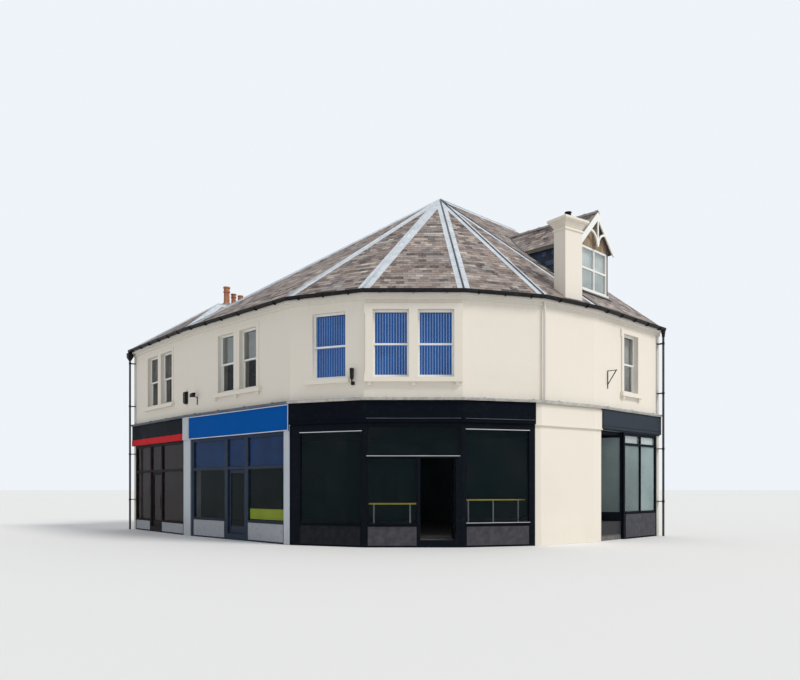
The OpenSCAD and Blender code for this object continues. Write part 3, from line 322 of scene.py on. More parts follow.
def renderPaint(cream, stain, amount, streaks=(0.5, 0.8), inner=None):
    # rain streaks gather under the eaves, over the cornice and at the foot. inner is (axis, sign,
    # edge): past that edge, in axes turned by 45 degrees, the wall is dark inner plaster, painted
    # shade for the dim rooms
    def paint(place):
        broad = place.noise(0.55, 4.0)
        runs = place.stretched(7.0, 7.0, 0.6).noise(1.0, 6.0, 0.7)
        height = place.axis("Z")
        wet = (height.band(*renderLook["eaves"]) * streaks[0]
               + height.band(*renderLook["cornice"]) * streaks[1]
               + (1 - height.between(*renderLook["foot"])) * 0.5)
        wet = wet * (0.25 + 0.75 * runs.between(0.35, 0.75))
        dirt = (wet + broad.between(0.42, 0.85) * 0.3 + runs.between(0.55, 0.85) * 0.05) * amount
        colour = dirt.blend(cream, stain)
        if inner:
            axis, sign, edge = inner
            within = (place.turned(45).axis(axis) * sign).between(edge - 0.03, edge - 0.01)
            colour = within.blend(colour, broad.tones(*renderLook["plaster"]))
        speck = place.noise(renderLook["grain"], 2.0)
        lumps = speck * 0.5 + place.noise(38.0) + place.noise(4.0, 2.0) * 2.5
        return colour, 0.74 + 0.14 * speck, (lumps, 0.0022)
    return paint


creamRender, eavesPaint, paleStone = (
    finish(name, renderPaint(*renderLook[name]))
    for name in ("cream_render_paint", "eaves_board_paint", "pale_stone_paint"))


def sideRender(name, i, thick):
    # party and rear walls, at 45 degrees to the axes: weathered outside, dark plaster inside as
    # painted shade for the dim rooms
    nx, ny = inward(i)
    axis, sign = ("Y", -1) if nx * ny > 0 else ("X", 1)
    inner = (axis, sign, float(corners[i] @ inward(i)) + thick)
    dress(finish(name + "_render", renderPaint(*renderLook["sides"], inner)), name)


slateLook = {
    # tone 0 is also the painted shade of every slate's tail and underside
    "tones": [(0.0, (0.05, 0.042, 0.042)), (0.2, (0.15, 0.114, 0.102)),
              (0.38, (0.22, 0.168, 0.148)), (0.54, (0.3, 0.236, 0.206)),
              (0.7, (0.29, 0.258, 0.246)), (0.86, (0.41, 0.35, 0.31)), (1.0, (0.54, 0.495, 0.45))],
    # cheek tones: blue-black slate made darker and bluer with painted shade
    "cheek": [(0.0, (0.01, 0.016, 0.03)), (0.5, (0.036, 0.068, 0.128)),
              (1.0, (0.085, 0.132, 0.215))],
    "grey": (0.255, 0.25, 0.258), "lichen": (0.64, 0.55, 0.47)}


def slateGrain(place):
    return place.stretched(1.0, 1.0, 3.0).noise(55.0, 4.0, 0.7)


def slatePaint(place):
    # each slate's own tone, grey clouds, pale lichen in short level streaks, thicker in some
    # places, and small specks
    grey = place.noise(0.9, 4.0, 0.6).between(0.5, 0.72)
    greyed = (grey * 0.55).blend(place.ownTone().ramp(*slateLook["tones"]), slateLook["grey"])
    streaks = place.stretched(9.0, 9.0, 42.0).noise(1.0, 4.0, 0.75).between(0.54, 0.7)
    lichen = streaks * place.noise(0.7, 3.0).between(0.36, 0.6)
    specks = place.stretched(1.0, 1.0, 3.5).noise(7.0, 3.0, 0.7).between(0.6, 0.7)
    grain = slateGrain(place)
    colour = (lichen * 0.85 + specks * 0.35).blend(greyed, slateLook["lichen"])
    return colour, 0.62 + 0.25 * grain, (grain, 0.0035)


slateFinish = finish("riven_slate", slatePaint)
# the cheek slates carry painted shade in their dark blue tones
cheekSlateShaded = finish("cheek_slate_blue_shaded", lambda place: (
    place.ownTone().ramp(*slateLook["cheek"]), 0.6 + 0.25 * place.noise(9.0),
    (slateGrain(place), 0.003)))


def boardingPaint(place):
    grain = place.noise(20.0, 4.0)
    return grain.tones((0.1, 0.085, 0.08), (0.17, 0.145, 0.135)), 0.8 + 0.1 * grain, (grain, 0.002)


underSlate = finish("under_slate", boardingPaint)


def leadPaint(place):
    # a soft bloom crossed by faint upright streaks
    bloom = place.noise(2.3, 5.0, 0.6)
    streak = place.stretched(7.0, 7.0, 1.2).noise(1.0, 4.0)
    colour = (bloom * 0.6 + streak * 0.4).ramp(
        (0.3, (0.43, 0.48, 0.53)), (0.52, (0.58, 0.63, 0.68)), (0.72, (0.72, 0.755, 0.785)))
    return colour, 0.45 + 0.3 * bloom, (place.noise(6.0) + streak * 0.4, 0.004)


leadFinish = finish("lead_sheet_grey", leadPaint)
leadDark = mottled("lead_roll_grey", (0.05, 0.06, 0.072), (0.135, 0.155, 0.175), (3.0, 4.0),
                   (0.5, 0.2, 9.0), Metallic=0.15)


def gloss(colour, worn, amount, rough=0.32, lumps=0.0008):
    # brushed paint: faint brush marks, dull patches and a little dust
    def paint(place):
        patch = place.noise(1.7, 4.0, 0.6)
        brush = place.stretched(3.0, 3.0, 40.0).noise(1.0)
        dust = place.noise(7.0, 5.0, 0.65).between(0.48, 0.78) * amount
        dull = rough + 0.25 * patch
        return dust.blend(colour, worn), dull, (brush + place.noise(24.0) * 0.6, lumps)
    return paint


# shine, colour, worn colour, dust, roughness, lumps
glossLook = {
    "white_gloss": (0.5, (0.84, 0.84, 0.81), (0.62, 0.61, 0.57), 0.35),
    "black_gloss": (0.05, (0.004, 0.006, 0.01), (0.013, 0.02, 0.03), 0.5, 0.4),
    "black_iron": (0.16, (0.01, 0.01, 0.011), (0.045, 0.042, 0.04), 0.6, 0.38, 0.0015),
    "brown_black_satin": (0.06, (0.014, 0.009, 0.01), (0.034, 0.026, 0.026), 0.5, 0.42),
    "fascia_blue": (0.02, (0.0, 0.088, 0.37), (0.003, 0.108, 0.39), 0.3, 0.4),
    "frame_blue_grey": (0.16, (0.014, 0.026, 0.048), (0.04, 0.058, 0.088), 0.5, 0.38),
    "fascia_red": (0.06, (0.56, 0.006, 0.012), (0.56, 0.016, 0.022), 0.3, 0.4),
    "riser_pale_grey": (0.5, (0.32, 0.335, 0.365), (0.195, 0.205, 0.222), 0.7, 0.45, 0.002)}
whitePaint, blackPaint, ironPaint, brownPaint, bluePaint, frameBlue, redPaint, palePaint = (
    finish(name, gloss(*look), Specular_IOR_Level=shine)
    for name, (shine, *look) in glossLook.items())


def fasciaPaint(place):
    # near black round the corner, a faded slate black over the last shop
    colour, *rest = gloss((0.003, 0.005, 0.009), (0.01, 0.016, 0.025), 0.5, 0.4)(place)
    return place.axis("X").between(5.4, 5.46).blend(colour, (0.036, 0.046, 0.059)), *rest


fasciaBlack = finish("fascia_black", fasciaPaint, Specular_IOR_Level=0.04)


def byStreet(first, second):
    # the first colour west of the corner shop, the second along the rest, both clouded. The dark
    # bluish first colour is partly painted shade and partly the darker lead and cables there
    def paint(place):
        west = 1 - place.axis("X").between(-3.68, -3.6)
        cloud = place.noise(5.0, 4.0, 0.6).between(0.3, 0.75)
        colour = west.blend(cloud.blend(second, tuple(0.66 * t for t in second)),
                            cloud.blend(first, tuple(1.8 * t for t in first)))
        return colour, 0.45 + 0.2 * place.noise(8.0), (place.noise(14.0), 0.002)
    return paint


# west of the corner shop both take a dark bluish colour that is partly painted shade
creamPaint = finish("cornice_paint", byStreet((0.11, 0.125, 0.14), (0.74, 0.71, 0.65)))
flashingLead = finish("flashing_lead", byStreet((0.06, 0.08, 0.105), (0.46, 0.49, 0.52)))


def brickPaint(place):
    # each brick's own tone, with soot towards the top of the stack
    burnt = place.noise(26.0, 4.0, 0.7)
    soot = place.axis("Z").between(8.9, 9.7) * place.noise(2.2, 4.0).between(0.3, 0.7)
    base = place.ownTone().ramp(
        (0.0, (0.215, 0.085, 0.058)), (0.5, (0.345, 0.135, 0.085)), (1.0, (0.44, 0.2, 0.125)))
    return (soot * 0.6).blend(base, (0.085, 0.068, 0.06)), 0.8 + 0.12 * burnt, (burnt, 0.004)


brickFinish = finish("stock_brick", brickPaint)
mortarFinish = mottled("lime_mortar", (0.26, 0.235, 0.205), (0.42, 0.385, 0.34), (18.0, 4.0),
                       (0.9,), (90.0, 0.002))
potFinish = mottled("fired_clay", (0.32, 0.115, 0.06), (0.52, 0.235, 0.13), (5.0, 5.0),
                    (0.75, 0.15, 30.0), (50.0, 0.0015), (1, 1, 0.5))
floorTile = mottled("shop_floor_tile", (0.09, 0.086, 0.082), (0.15, 0.145, 0.138), (6.0, 5.0),
                    (0.6, 0.2, 3.0), (60.0, 0.001), over=lambda place, colour: (
                        place.axis("X").between(5.4, 5.5) * place.axis("Z").between(0.1, 0.2)
                    ).blend(colour, (0.014, 0.014, 0.016)))
downpipePaint = mottled("downpipe_paint", (0.012, 0.012, 0.013), (0.045, 0.044, 0.042), (5.0, 4.0),
                        (0.42, 0.2, 3.0), (30.0, 0.001), over=lambda place, colour:
                        place.axis("X").band(3.0, 3.1, 5.0, 5.1).blend(colour, (0.66, 0.625, 0.56)))
darkRiser = mottled("riser_dark_grey", (0.006, 0.007, 0.01), (0.014, 0.016, 0.02), (6.0, 4.0),
                    (0.42, 0.2, 3.0), (24.0, 0.001), over=lambda place, colour:
                    place.axis("X").between(-1.42, -1.38).blend(colour, place.noise(6.0, 4.0).tones(
                        (0.044, 0.042, 0.052), (0.074, 0.072, 0.082))), Specular_IOR_Level=0.12)
paleMetal = mottled("bead_aluminium", (0.5, 0.51, 0.53), (0.66, 0.67, 0.68), (1.0,),
                    (0.32, 0.15, 4.0), None, (2, 2, 60), Metallic=0.7)
woodYellow = mottled("bar_top_yellow", (0.74, 0.6, 0.06), (0.9, 0.76, 0.11), (1.0, 4.0),
                     (0.4, 0.2, 5.0), None, (2, 2, 30))
ridgeFinish = mottled("ridge_tile_grey", (0.23, 0.205, 0.2), (0.43, 0.395, 0.38), (7.0, 5.0, 0.7),
                      (0.75, 0.15, 30.0), (45.0, 0.003))
gableWood = finish("gable_boards_brown", lambda place: (
    place.stretched(9.0, 9.0, 1.5).noise(1.0, 5.0, 0.6).tones(
        (0.19, 0.13, 0.075), (0.38, 0.29, 0.19)),
    0.75 + 0.15 * place.noise(12.0), (place.stretched(60.0, 60.0, 4.0).noise(1.0), 0.002)))


def boards(name, top):
    # pine boards above; below, a dark ceiling that is painted shade for the dim rooms
    def paint(place):
        grain = place.turned(45.0).stretched(1.2, 24.0, 24.0).noise(1.0, 5.0, 0.65)
        pine = grain.tones((0.2, 0.125, 0.07), (0.36, 0.245, 0.15))
        above = place.axis("Z").between(top - 0.02, top - 0.006)
        return above.blend((0.045, 0.046, 0.048), pine), 0.5 + 0.2 * grain, (grain, 0.002)
    dress(finish(name + "_boards", paint), name)


# the painted light that the panes of two shops carry for their bright rooms, how clear some
# panes are, and where they start or end (x, z or y)
glass = {"left": (0.052, 0.034, 0.036), "right": (0.232, 0.296, 0.296), "rightSee": 0.62,
         "rearSee": 0.92, "leftTo": -7.6, "rightFrom": 5.6, "lastFrom": 7.6,
         "topFrom": (6.84, 3.05), "rearFrom": 9.4}


def glassLook(name, shade, see, shine, street):
    # thin glass: part see-through, with faint waves and a bloom of dust. On the street the left
    # shop's panes carry a warm painted light for its bright room, and the last shop's a paler
    # painted light for its bright white room; the rear ones upstairs are nearly opaque and dark,
    # painted shade for the dim rooms
    def paint(place):
        dust = place.noise(1.3, 4.0).between(0.35, 0.8)
        colour = dust.blend(shade, tuple(0.6 * t + 0.012 for t in shade))
        alpha = see + 0.05 * dust
        x, z = place.axis("X"), place.axis("Z")
        # painted light: a warm cast on the left shop's panes, a pale one on the last shop's
        if street:
            right = x.between(glass["rightFrom"], glass["rightFrom"] + 0.02)
            pale = glass["right"]
            cloud = place.noise(0.8).ramp((0.35, pale), (0.7, tuple(1.35 * t for t in pale)))
            last = x.between(glass["lastFrom"], glass["lastFrom"] + 0.02)
            last = last + z.between(1.0, 3.2) * 0.3
            topX, topZ = glass["topFrom"]
            top = z.between(topZ, topZ + 0.03) * x.between(topX, topX + 0.02)
            left = 1 - x.between(glass["leftTo"] - 0.1, glass["leftTo"])
            colour = left.blend(colour, glass["left"])
            colour = right.blend(colour, cloud.times(0.75 + 0.55 * last))
            alpha = alpha + right * (1 - top) * (glass["rightSee"] - see)
        else:
            # painted shade: the rear panes turn nearly opaque and dark
            rear = place.axis("Y").between(glass["rearFrom"], glass["rearFrom"] + 0.2)
            alpha = alpha + rear * (glass["rearSee"] - see)
        return colour, 0.05 + 0.05 * dust, (place.noise(1.1, 2.0), 0.001), {"Alpha": alpha}
    return finish(name, paint, IOR=1.52, Specular_IOR_Level=shine)


shopGlass = glassLook("shop_glass_clear", (0.003, 0.014, 0.018), 0.26, 0.14, True)
sashGlass = glassLook("sash_glass_clear", (0.03, 0.04, 0.046), 0.24, 0.3, False)

for material, names in (
        (creamRender, "left_bay_wall left_wall corner_left_wall corner_front_wall "
                      "corner_right_wall pier_wall right_wall right_chimney window_dressings"),
        (underSlate, "left_roof_slope corner_roof right_roof_slope rear_roof_slope left_bay_roof "
                     "dormer_walls dormer_roof"),
        (leadFinish, "roof_leads"), (mortarFinish, "left_chimney"), (potFinish, "chimney_pots"),
        (whitePaint, "dormer_window dormer_bargeboards sash_windows"), (creamPaint, "shop_cornice"),
        (eavesPaint, "eaves_boards"), (downpipePaint, "downpipes"), (bluePaint, "blue_fascia"),
        (ironPaint, "gutters stack_cowl wall_fittings"), (fasciaBlack, "black_fascias"),
        (brownPaint, "left_shopfront left_shop_door"), (paleStone, "shop_piers"),
        (blackPaint, "corner_shopfront right_shopfront corner_shop_door"),
        (frameBlue, "second_shopfront second_shop_door"), (floorTile, "ground_floor"),
        (shopGlass, "shop_glass left_door_glass second_door_glass corner_door_glass"),
        (sashGlass, "upper_glass")):
    dress(material, *names.split())
for name, i, thick in (("right_party_wall", 7, 0.23), ("rear_wall", 8, 0.3),
                       ("left_bay_rear_wall", 9, 0.3), ("left_party_wall", 10, 0.23)):
    sideRender(name, i, thick)
boards("first_floor", 3.85)
boards("attic_floor", 6.95)
print("finishes made")

slating = {"gauge": 0.165, "width": 0.225, "cheekWidth": 0.2, "thick": 0.008, "tail": 0.017,
           "head": 0.0015, "joint": 0.005, "lap": 1.3, "shift": 0.1, "sag": 0.006, "rock": 0.0015,
           "middle": 0.475, "spread": 1.0, "shared": 0.115, "bleached": 0.045}
random = np.random.default_rng(14)

# the corners of the slopes in plan: eaves, apex, and the ends of ridges and valley
eave = [inset(0, 0, -eaveOut), *(inset(i, -eaveOut, -eaveOut) for i in range(1, 7)),
        inset(7, -eaveOut, 0)]
run45 = np.array([math.sqrt(0.5), math.sqrt(0.5)])
apex = meet(corners[6] + 6.06 * inward(6), along(6), corners[1] + 6.93 * inward(1), along(1))
ridgeEnd = meet(apex, run45, corners[7], along(7))
rearEave = meet(eave[1], run45, corners[7], along(7))
valleyEnd = meet(eave[1], run45, corners[9], along(9))
bayMid = (eave[1] + meet(eave[1], along(9), corners[0], run45)) / 2
bayApex = meet(bayMid, run45, corners[0] + (2.6 - eaveOut) * inward(0), along(0))
bayRidgeEnd = meet(bayMid, run45, corners[9], along(9))


def slopeFrame(base, heading, top, topPlan):
    # origin on the eaves line, u along it, v up the slope, the normal, and the run in plan
    a = math.radians(heading)
    u = np.array([math.cos(a), math.sin(a), 0.0])
    back = np.array([-math.sin(a), math.cos(a), 0.0])
    run = float(np.dot(topPlan - base, back[:2]))
    v = unit(back * run + np.array([0, 0, top - eaveZ]))
    return np.array([*base, eaveZ]), u, v, np.cross(u, v), run


def onSlope(slope, plan):
    # plan points as (u, v) on the slope
    origin, u, v = slope[:3]
    flat = np.asarray(plan) - origin[:2]
    return np.stack([flat @ u[:2], (flat @ v[:2]) / float(np.dot(v[:2], v[:2]))], axis=1)


def limits(outline, v):
    # for a convex outline (counter-clockwise), the lowest and highest u at height v
    low, high = np.full(v.shape, -99.0), np.full(v.shape, 99.0)
    for p, q in zip(outline, np.roll(outline, -1, axis=0)):
        rise = q[1] - p[1]
        if abs(rise) > 1e-6:
            u = p[0] + (v - p[1]) * (q[0] - p[0]) / rise
            low, high = (low, np.minimum(high, u)) if rise > 0 else (np.maximum(low, u), high)
    return low, high


def slateCover(slope, outline, width=slating["width"], leave=None):
    # each slate spans one column and 1.3 courses; its tail stands over the course below.
    # Odd courses shift by half a slate, and both ends are cut to the outline
    origin, u, v, normal = slope[:4]
    gauge, thick, rock = slating["gauge"], slating["thick"], slating["rock"]
    x, y = outline.T
    left, right, top = x.min(), x.max(), y.max()
    if np.sum(x * np.roll(y, -1) - y * np.roll(x, -1)) < 0:
        outline = outline[::-1]
    rows = np.arange(int(np.ceil(top / gauge)))
    cols = np.arange(int(np.floor(left / width)) - 1, int(np.ceil(right / width)) + 1)
    r, c = (a.ravel() for a in np.meshgrid(rows, cols, indexing="ij"))
    shift = random.uniform(-slating["shift"], slating["shift"], (len(rows), len(cols) + 1)) * width
    edges = [(c + e) * width + (r % 2) * width / 2 + shift[r, c - cols[0] + e]
             + (0.5 - e) * slating["joint"] for e in (0, 1)]
    v0 = np.maximum(r * gauge + random.uniform(-slating["sag"], slating["sag"], len(r)), 0.0)
    v1 = np.minimum((r + slating["lap"]) * gauge, top - 0.01)
    foot, head = limits(outline, np.minimum(v0, top - 0.01)), limits(outline, v1)
    a0, b0, a1, b1 = (np.clip(e, *ends) for ends in (foot, head) for e in edges)
    keep = ((b0 - a0) + (b1 - a1) > 0.06) & (v1 > v0 + 0.03)
    a0, a1, v0, v1 = a0[keep], a1[keep], v0[keep], v1[keep]
    b0, b1 = np.maximum(b0[keep], a0 + 0.004), np.maximum(b1[keep], a1 + 0.004)
    tilt = random.uniform(-rock, rock, (4, keep.sum())) * [[1], [1], [0.4], [0.4]]
    over = np.array([slating["tail"]] * 2 + [slating["head"] + thick] * 2)[:, None] + tilt
    under = np.concatenate([over[:2] - thick, np.full_like(over[2:], 0.001)])
    a, b, under, over = (np.transpose(s)[..., None] for s in (
        (a0, b0, b1, a1), (v0, v0, v1, v1), under, over))
    low, high = (origin + a * u + b * v + h * normal for h in (under, over))
    # its own tone, partly shared by six neighbours of a course, and a few bleached slates
    shared = random.normal(0, slating["shared"], (len(rows), len(cols)))
    tone = slating["middle"] + slating["spread"] * (random.beta(2.2, 2.4, len(low)) - 0.5)
    tone = tone + shared[r[keep], (c[keep] - cols[0]) // 6]
    bleached = random.random(len(low)) < slating["bleached"]
    tone = np.clip(np.where(bleached, random.uniform(0.8, 1.0, len(low)), tone), 0, 1)
    if leave is not None:
        out = ~leave(high.mean(axis=1))
        low, high, tone = low[out], high[out], tone[out]
    # the undersides and tails get tone 0, painted shade: a dark line under each course
    return prisms(low, high), np.repeat(np.stack([0 * tone, tone], 1), 4, axis=1).ravel()


def slateRoof(name, covers, look=slateFinish):
    parts, tones = zip(*covers)
    addPiece(name, parts, "slate", look, tone=np.concatenate(tones))


def planCover(slope, plan, leave=None):
    return slateCover(slope, onSlope(slope, plan), leave=leave)


mainSlopes = [slopeFrame(eave[k], heads[k], ridgeZ, apex) for k in range(1, 7)]
rearSlope = slopeFrame(rearEave, heads[8], ridgeZ, apex)
bayFront = slopeFrame(eave[0], heads[0], bayRidgeZ, bayApex)
bayRight = slopeFrame(eave[1], 45, bayRidgeZ, bayApex)
bayLeft = slopeFrame(corners[10], heads[10], bayRidgeZ, bayApex)

dormer = {"x0": 0.92, "x1": 2.52, "face": 1.0, "cheek": 0.09, "ridgeZ": 10.7, "headZ": 9.51,
          "sideOut": 0.165, "frontOut": 0.12, "pitch": 45.0, "thick": 0.11}


def inDormer(points):
    away = points[:, :2] - corners[6]
    x, y = away @ along(6), away @ inward(6) - dormer["face"]
    return (x > dormer["x0"] - 0.05) & (x < dormer["x1"] + 0.05) & (y > 0.05) & (y < 2.2)


roofs = {
    "left_slates": [(mainSlopes[0], [eave[1], eave[2], apex])],
    "corner_slates": [(mainSlopes[k - 1], [eave[k], eave[k + 1], apex]) for k in range(2, 6)],
    "right_slates": [(mainSlopes[5], [eave[6], eave[7], ridgeEnd, apex], inDormer)],
    "rear_slates": [(rearSlope, [eave[1], apex, ridgeEnd, rearEave])],
    "bay_slates": [(bayFront, [eave[0], eave[1], bayApex]),
                   (bayRight, [eave[1], valleyEnd, bayRidgeEnd, bayApex]),
                   (bayLeft, [corners[10], eave[0], bayApex, bayRidgeEnd])]}
for name, slopes in roofs.items():
    slateRoof(name, [planCover(*slope) for slope in slopes])

dormerMid = (dormer["x0"] + dormer["x1"]) / 2
dormerHalf = (dormer["x1"] - dormer["x0"]) / 2 + dormer["cheek"] + dormer["sideOut"]
dormerRise = math.tan(math.radians(dormer["pitch"]))
dormerFootZ = dormer["ridgeZ"] - dormerHalf * dormerRise
dormerFront = dormer["face"] - dormer["frontOut"]
roofRise = (ridgeZ - eaveZ) / mainSlopes[5][4]


def slopeDepth(z):
    # how far behind the wall face the height z lies on the main slope
    return (z - eaveZ) / roofRise - eaveOut


def slopeHeight(y):
    return eaveZ + (y + eaveOut) * roofRise


def planeCover(origin, u, v, points, width):
    # slates on the plane through origin along u and v, cut to the outline of the points
    outline = np.array([((p - origin) @ u, (p - origin) @ v) for p in points])
    return slateCover((origin, u, v, np.cross(u, v)), outline, width)


def dormerSlates():
    # the two slopes of the dormer run back until they meet the main slope
    covers = []
    for s in (-1, 1):
        foot, top = ([onFace(6, x, y, z) for y in (dormerFront, slopeDepth(z))] for x, z in (
            (dormerMid + s * dormerHalf, dormerFootZ), (dormerMid, dormer["ridgeZ"])))
        u, v = unit(foot[1] - foot[0]) * s, unit(top[0] - foot[0])
        covers.append(planeCover(foot[0], u, v, (*foot, *top[::-1]), slating["width"]))
    slateRoof("dormer_slates", covers)


dormerSlates()
print("slates laid")

tiles = {"length": 0.45, "radius": 0.098, "collar": 0.113, "wall": 0.014, "drop": 0.035}
valley = {"half": 0.085, "thick": 0.004, "above": 0.026}
boarding = {"width": 0.1, "joint": 0.004, "front": 1.006, "back": 1.028}


def ridgeTiles():
    # half-round tiles along the ridge, each with a raised collar at its front end: the profile is
    # an arc from -8 to 188 degrees and back on the inner radius
    parts = []
    z = dormer["ridgeZ"] - tiles["drop"]
    for y in np.arange(dormerFront - 0.02, slopeDepth(dormer["ridgeZ"]) - 0.3, tiles["length"]):
        for start, end, radius in ((0.006, 0.447, tiles["radius"]), (0.0, 0.055, tiles["collar"])):
            path = onFace(6, dormerMid, [y + start, y + end], z)
            shell = [arc(radius, -8, 188, 9), arc(radius - tiles["wall"], 188, -8, 9)]
            parts.append(sweep(path, np.concatenate(shell)))
    addPiece("dormer_ridge_tiles", parts, "slate", ridgeFinish)


def dormerLeads():
    # flat leads in the two valleys and along the foot of each cheek, and a wider apron in front
    normal = mainSlopes[5][3]
    over = normal * valley["above"]
    thick, half, face, ridge = valley["thick"], valley["half"], dormer["face"], dormer["ridgeZ"]
    strip = [(-half, 0.0), (half, 0.0), (half, thick), (-half, thick)]
    parts = []
    for side in (-1, 1):
        top = onFace(6, dormerMid + side * 0.05, slopeDepth(ridge) + 0.02, ridge)
        x = dormerMid + side * (dormerHalf + 0.03)
        foot = onFace(6, x, slopeDepth(dormerFootZ), dormerFootZ)
        x = dormerMid + side * (dormerHalf - dormer["sideOut"] + 0.085)
        low = onFace(6, x, face - 0.02, slopeHeight(face - 0.02))
        high = onFace(6, x, slopeDepth(dormerFootZ) - 0.05, dormerFootZ - 0.05 * roofRise)
        parts += [sweep([a + over, b + over], strip, up=normal)
                  for a, b in ((foot, top), (low, high))]
    ends = [dormer["x0"] - 0.1, dormer["x1"] + 0.1]
    apron = onFace(6, ends, face - 0.13, slopeHeight(face - 0.1)) + normal * 0.03
    flat = [(-0.11, 0.0), (0.07, 0.0), (0.07, thick), (-0.11, thick)]
    parts.append(sweep(apron, flat, up=normal))
    addPiece("dormer_leads", parts, "lead_sheet", leadDark)


def gableBoards():
    # upright boards fill the gable behind the barge boards, each corner cut to the slope above:
    # top = ridge - distance from the middle * rise of the roof - its thickness
    w, headZ = boarding["width"], dormer["headZ"]
    edges = np.arange(dormer["x0"] - 0.08, dormer["x1"] + 0.08 - w + 1e-6, w)
    left, right = edges + boarding["joint"], edges + w - boarding["joint"]

    def under(x):
        return dormer["ridgeZ"] - np.abs(x - dormerMid) * dormerRise - dormer["thick"] - 0.012
    front, back = boarding["front"], boarding["back"]
    ring = [(left, front), (right, front), (right, back), (left, back)]
    low = np.stack([onFace(6, x, y, headZ + 0.002) for x, y in ring], axis=1)
    high = np.stack([onFace(6, x, y, np.maximum(under(x), headZ + 0.02)) for x, y in ring], axis=1)
    addPiece("gable_boards", [prisms(low, high)], "brown_black_paint", gableWood)


def cheekSlates():
    # slates hung on the cheeks, in a triangle from the main slope up to the eaves of the dormer
    covers = []
    eaveUnder = dormerFootZ + dormer["sideOut"] * dormerRise - dormer["thick"] - 0.03
    start = dormer["face"] + 0.015
    for side, wall in ((-1, dormer["x0"]), (1, dormer["x1"])):
        x = wall + side * (dormer["cheek"] + 0.001)
        foot = onFace(6, x, start, slopeHeight(start) + 0.03)
        end = onFace(6, x, slopeDepth(eaveUnder) - 0.05, eaveUnder)
        corner = onFace(6, x, start, eaveUnder)
        origin = foot if side > 0 else np.array([end[0], end[1], foot[2]])
        covers.append(planeCover(origin, np.append(inward(6), 0) * side, np.array([0.0, 0.0, 1.0]),
                                 (foot, end, corner), slating["cheekWidth"]))
    slateRoof("cheek_slates", covers, cheekSlateShaded)


ridgeTiles()
dormerLeads()
gableBoards()
cheekSlates()
print("dormer finished")

rolls = {"radius": 0.026, "lift": 0.03, "start": 0.02}


def makeRolls():
    # round rolls swept along the lines of the hips and ridges, pale on the left; on the right they
    # are dark, painted shade of the rolls' shadow side
    hips = [(*eave[k], eaveZ, *apex, ridgeZ) for k in range(1, 7)]
    ridges = [(*apex, ridgeZ, *ridgeEnd, ridgeZ), (*eave[0], eaveZ, *bayApex, bayRidgeZ),
              (*bayApex, bayRidgeZ, *bayRidgeEnd, bayRidgeZ)]
    for name, lines, material in (
            ("pale_rolls", hips[:3] + ridges, leadFinish), ("shaded_rolls", hips[3:], leadDark)):
        parts = []
        for line in lines:
            a, b = np.reshape(line, (2, 3)) + [0, 0, rolls["lift"]]
            parts.append(sweep([a + unit(b - a) * rolls["start"], b], ringOf(rolls["radius"], 12)))
        addPiece(name, parts, "lead_sheet", material, smooth=True)


makeRolls()

gutter = {"y": -0.2086, "z": 7.08, "radius": 0.058, "sheet": 0.005, "front": 0.036, "lip": 0.009,
          "strapEvery": 0.92,
          "strap": [(-0.0225, -0.007), (0.0225, -0.007), (0.0225, 0.007), (-0.0225, 0.007)]}


def gutterProfile(front):
    # (outward, up): half round r * (cos t, sin t) from 180 to 360 degrees, then the front edge
    # rises to a round lip
    r = gutter["radius"]
    lip = arc(gutter["lip"], -40, 180, 7) + [r - 0.004, front]
    inner = arc(r - gutter["sheet"], 360, 180, 13)
    return np.concatenate([arc(r, 180, 360, 13), lip, inner]) - [0.005, 0]


def makeGutter():
    path = streetLine(0, 0, 6, faceLength(6), gutter["y"], gutter["z"])
    trough = sweep(path, gutterProfile(gutter["front"]))
    piece = addPiece("street_gutter", [trough], "black_paint", ironPaint)
    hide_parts("gutters")
    # each strap follows the half round: centre + r * (cos t, sin t), t from 175 to 365 degrees
    y, z = arc(gutter["radius"] + 0.006, 175, 365, 9).T + [[gutter["y"]], [gutter["z"]]]
    parts = []
    for i in range(7):
        length = faceLength(i)
        count = max(2, int(round(length / gutter["strapEvery"])))
        for x in (np.arange(count) + 0.5) * length / count:
            parts.append(sweep(onFace(i, x, y, z), gutter["strap"], up=np.append(along(i), 0)))
    addPiece("gutter_straps", parts, "black_paint", ironPaint)


makeGutter()
print("leads and straps made")

bricks = {"long": 0.215, "course": 0.075, "joint": 0.01, "proud": 0.006, "deep": 0.02,
          "stackWidth": 0.45, "stackLength": 1.1, "back": 3.9, "foot": 7.1, "top": 9.38}


def makeStackBricks():
    # every side is a grid of courses and stretchers, shifted by half a brick on odd courses
    w, p, deep, long = (bricks[k] for k in ("stackWidth", "proud", "deep", "long"))
    run = bricks["stackLength"]
    x1 = faceLength(10) - bricks["back"]
    x0 = x1 - run
    pitch = long + bricks["joint"]
    parts, tones = [], []
    courses = np.arange(int((bricks["top"] - bricks["foot"]) / bricks["course"]))
    for side, length in (("front", run), ("back", run), ("left", w), ("right", w)):
        cols = np.arange(-1, int(length / pitch) + 2)
        r, c = (a.ravel() for a in np.meshgrid(courses, cols, indexing="ij"))
        start = c * pitch + (r % 2) * pitch / 2
        s0, s1 = (np.clip(s, 0.002, length - 0.002) for s in (start, start + long))
        z1 = bricks["top"] - 0.005 - r * bricks["course"]
        s0, s1, z1 = (a[s1 - s0 > 0.03] for a in (s0, s1, z1))
        spans = {"front": (x0 + s0, x0 + s1, -p, deep), "back": (x0 + s0, x0 + s1, w - deep, w + p),
                 "left": (x0 - p, x0 + deep, s0, s1), "right": (x1 - deep, x1 + p, s0, s1)}[side]
        parts.append(faceBox(10, *spans, z1 - bricks["course"] + bricks["joint"], z1))
        tones.append(np.repeat(random.uniform(0, 1, len(s0)), 8))
    addPiece("stack_bricks", parts, "red_brick", brickFinish, tone=np.concatenate(tones))


makeStackBricks()
print("bricks laid")

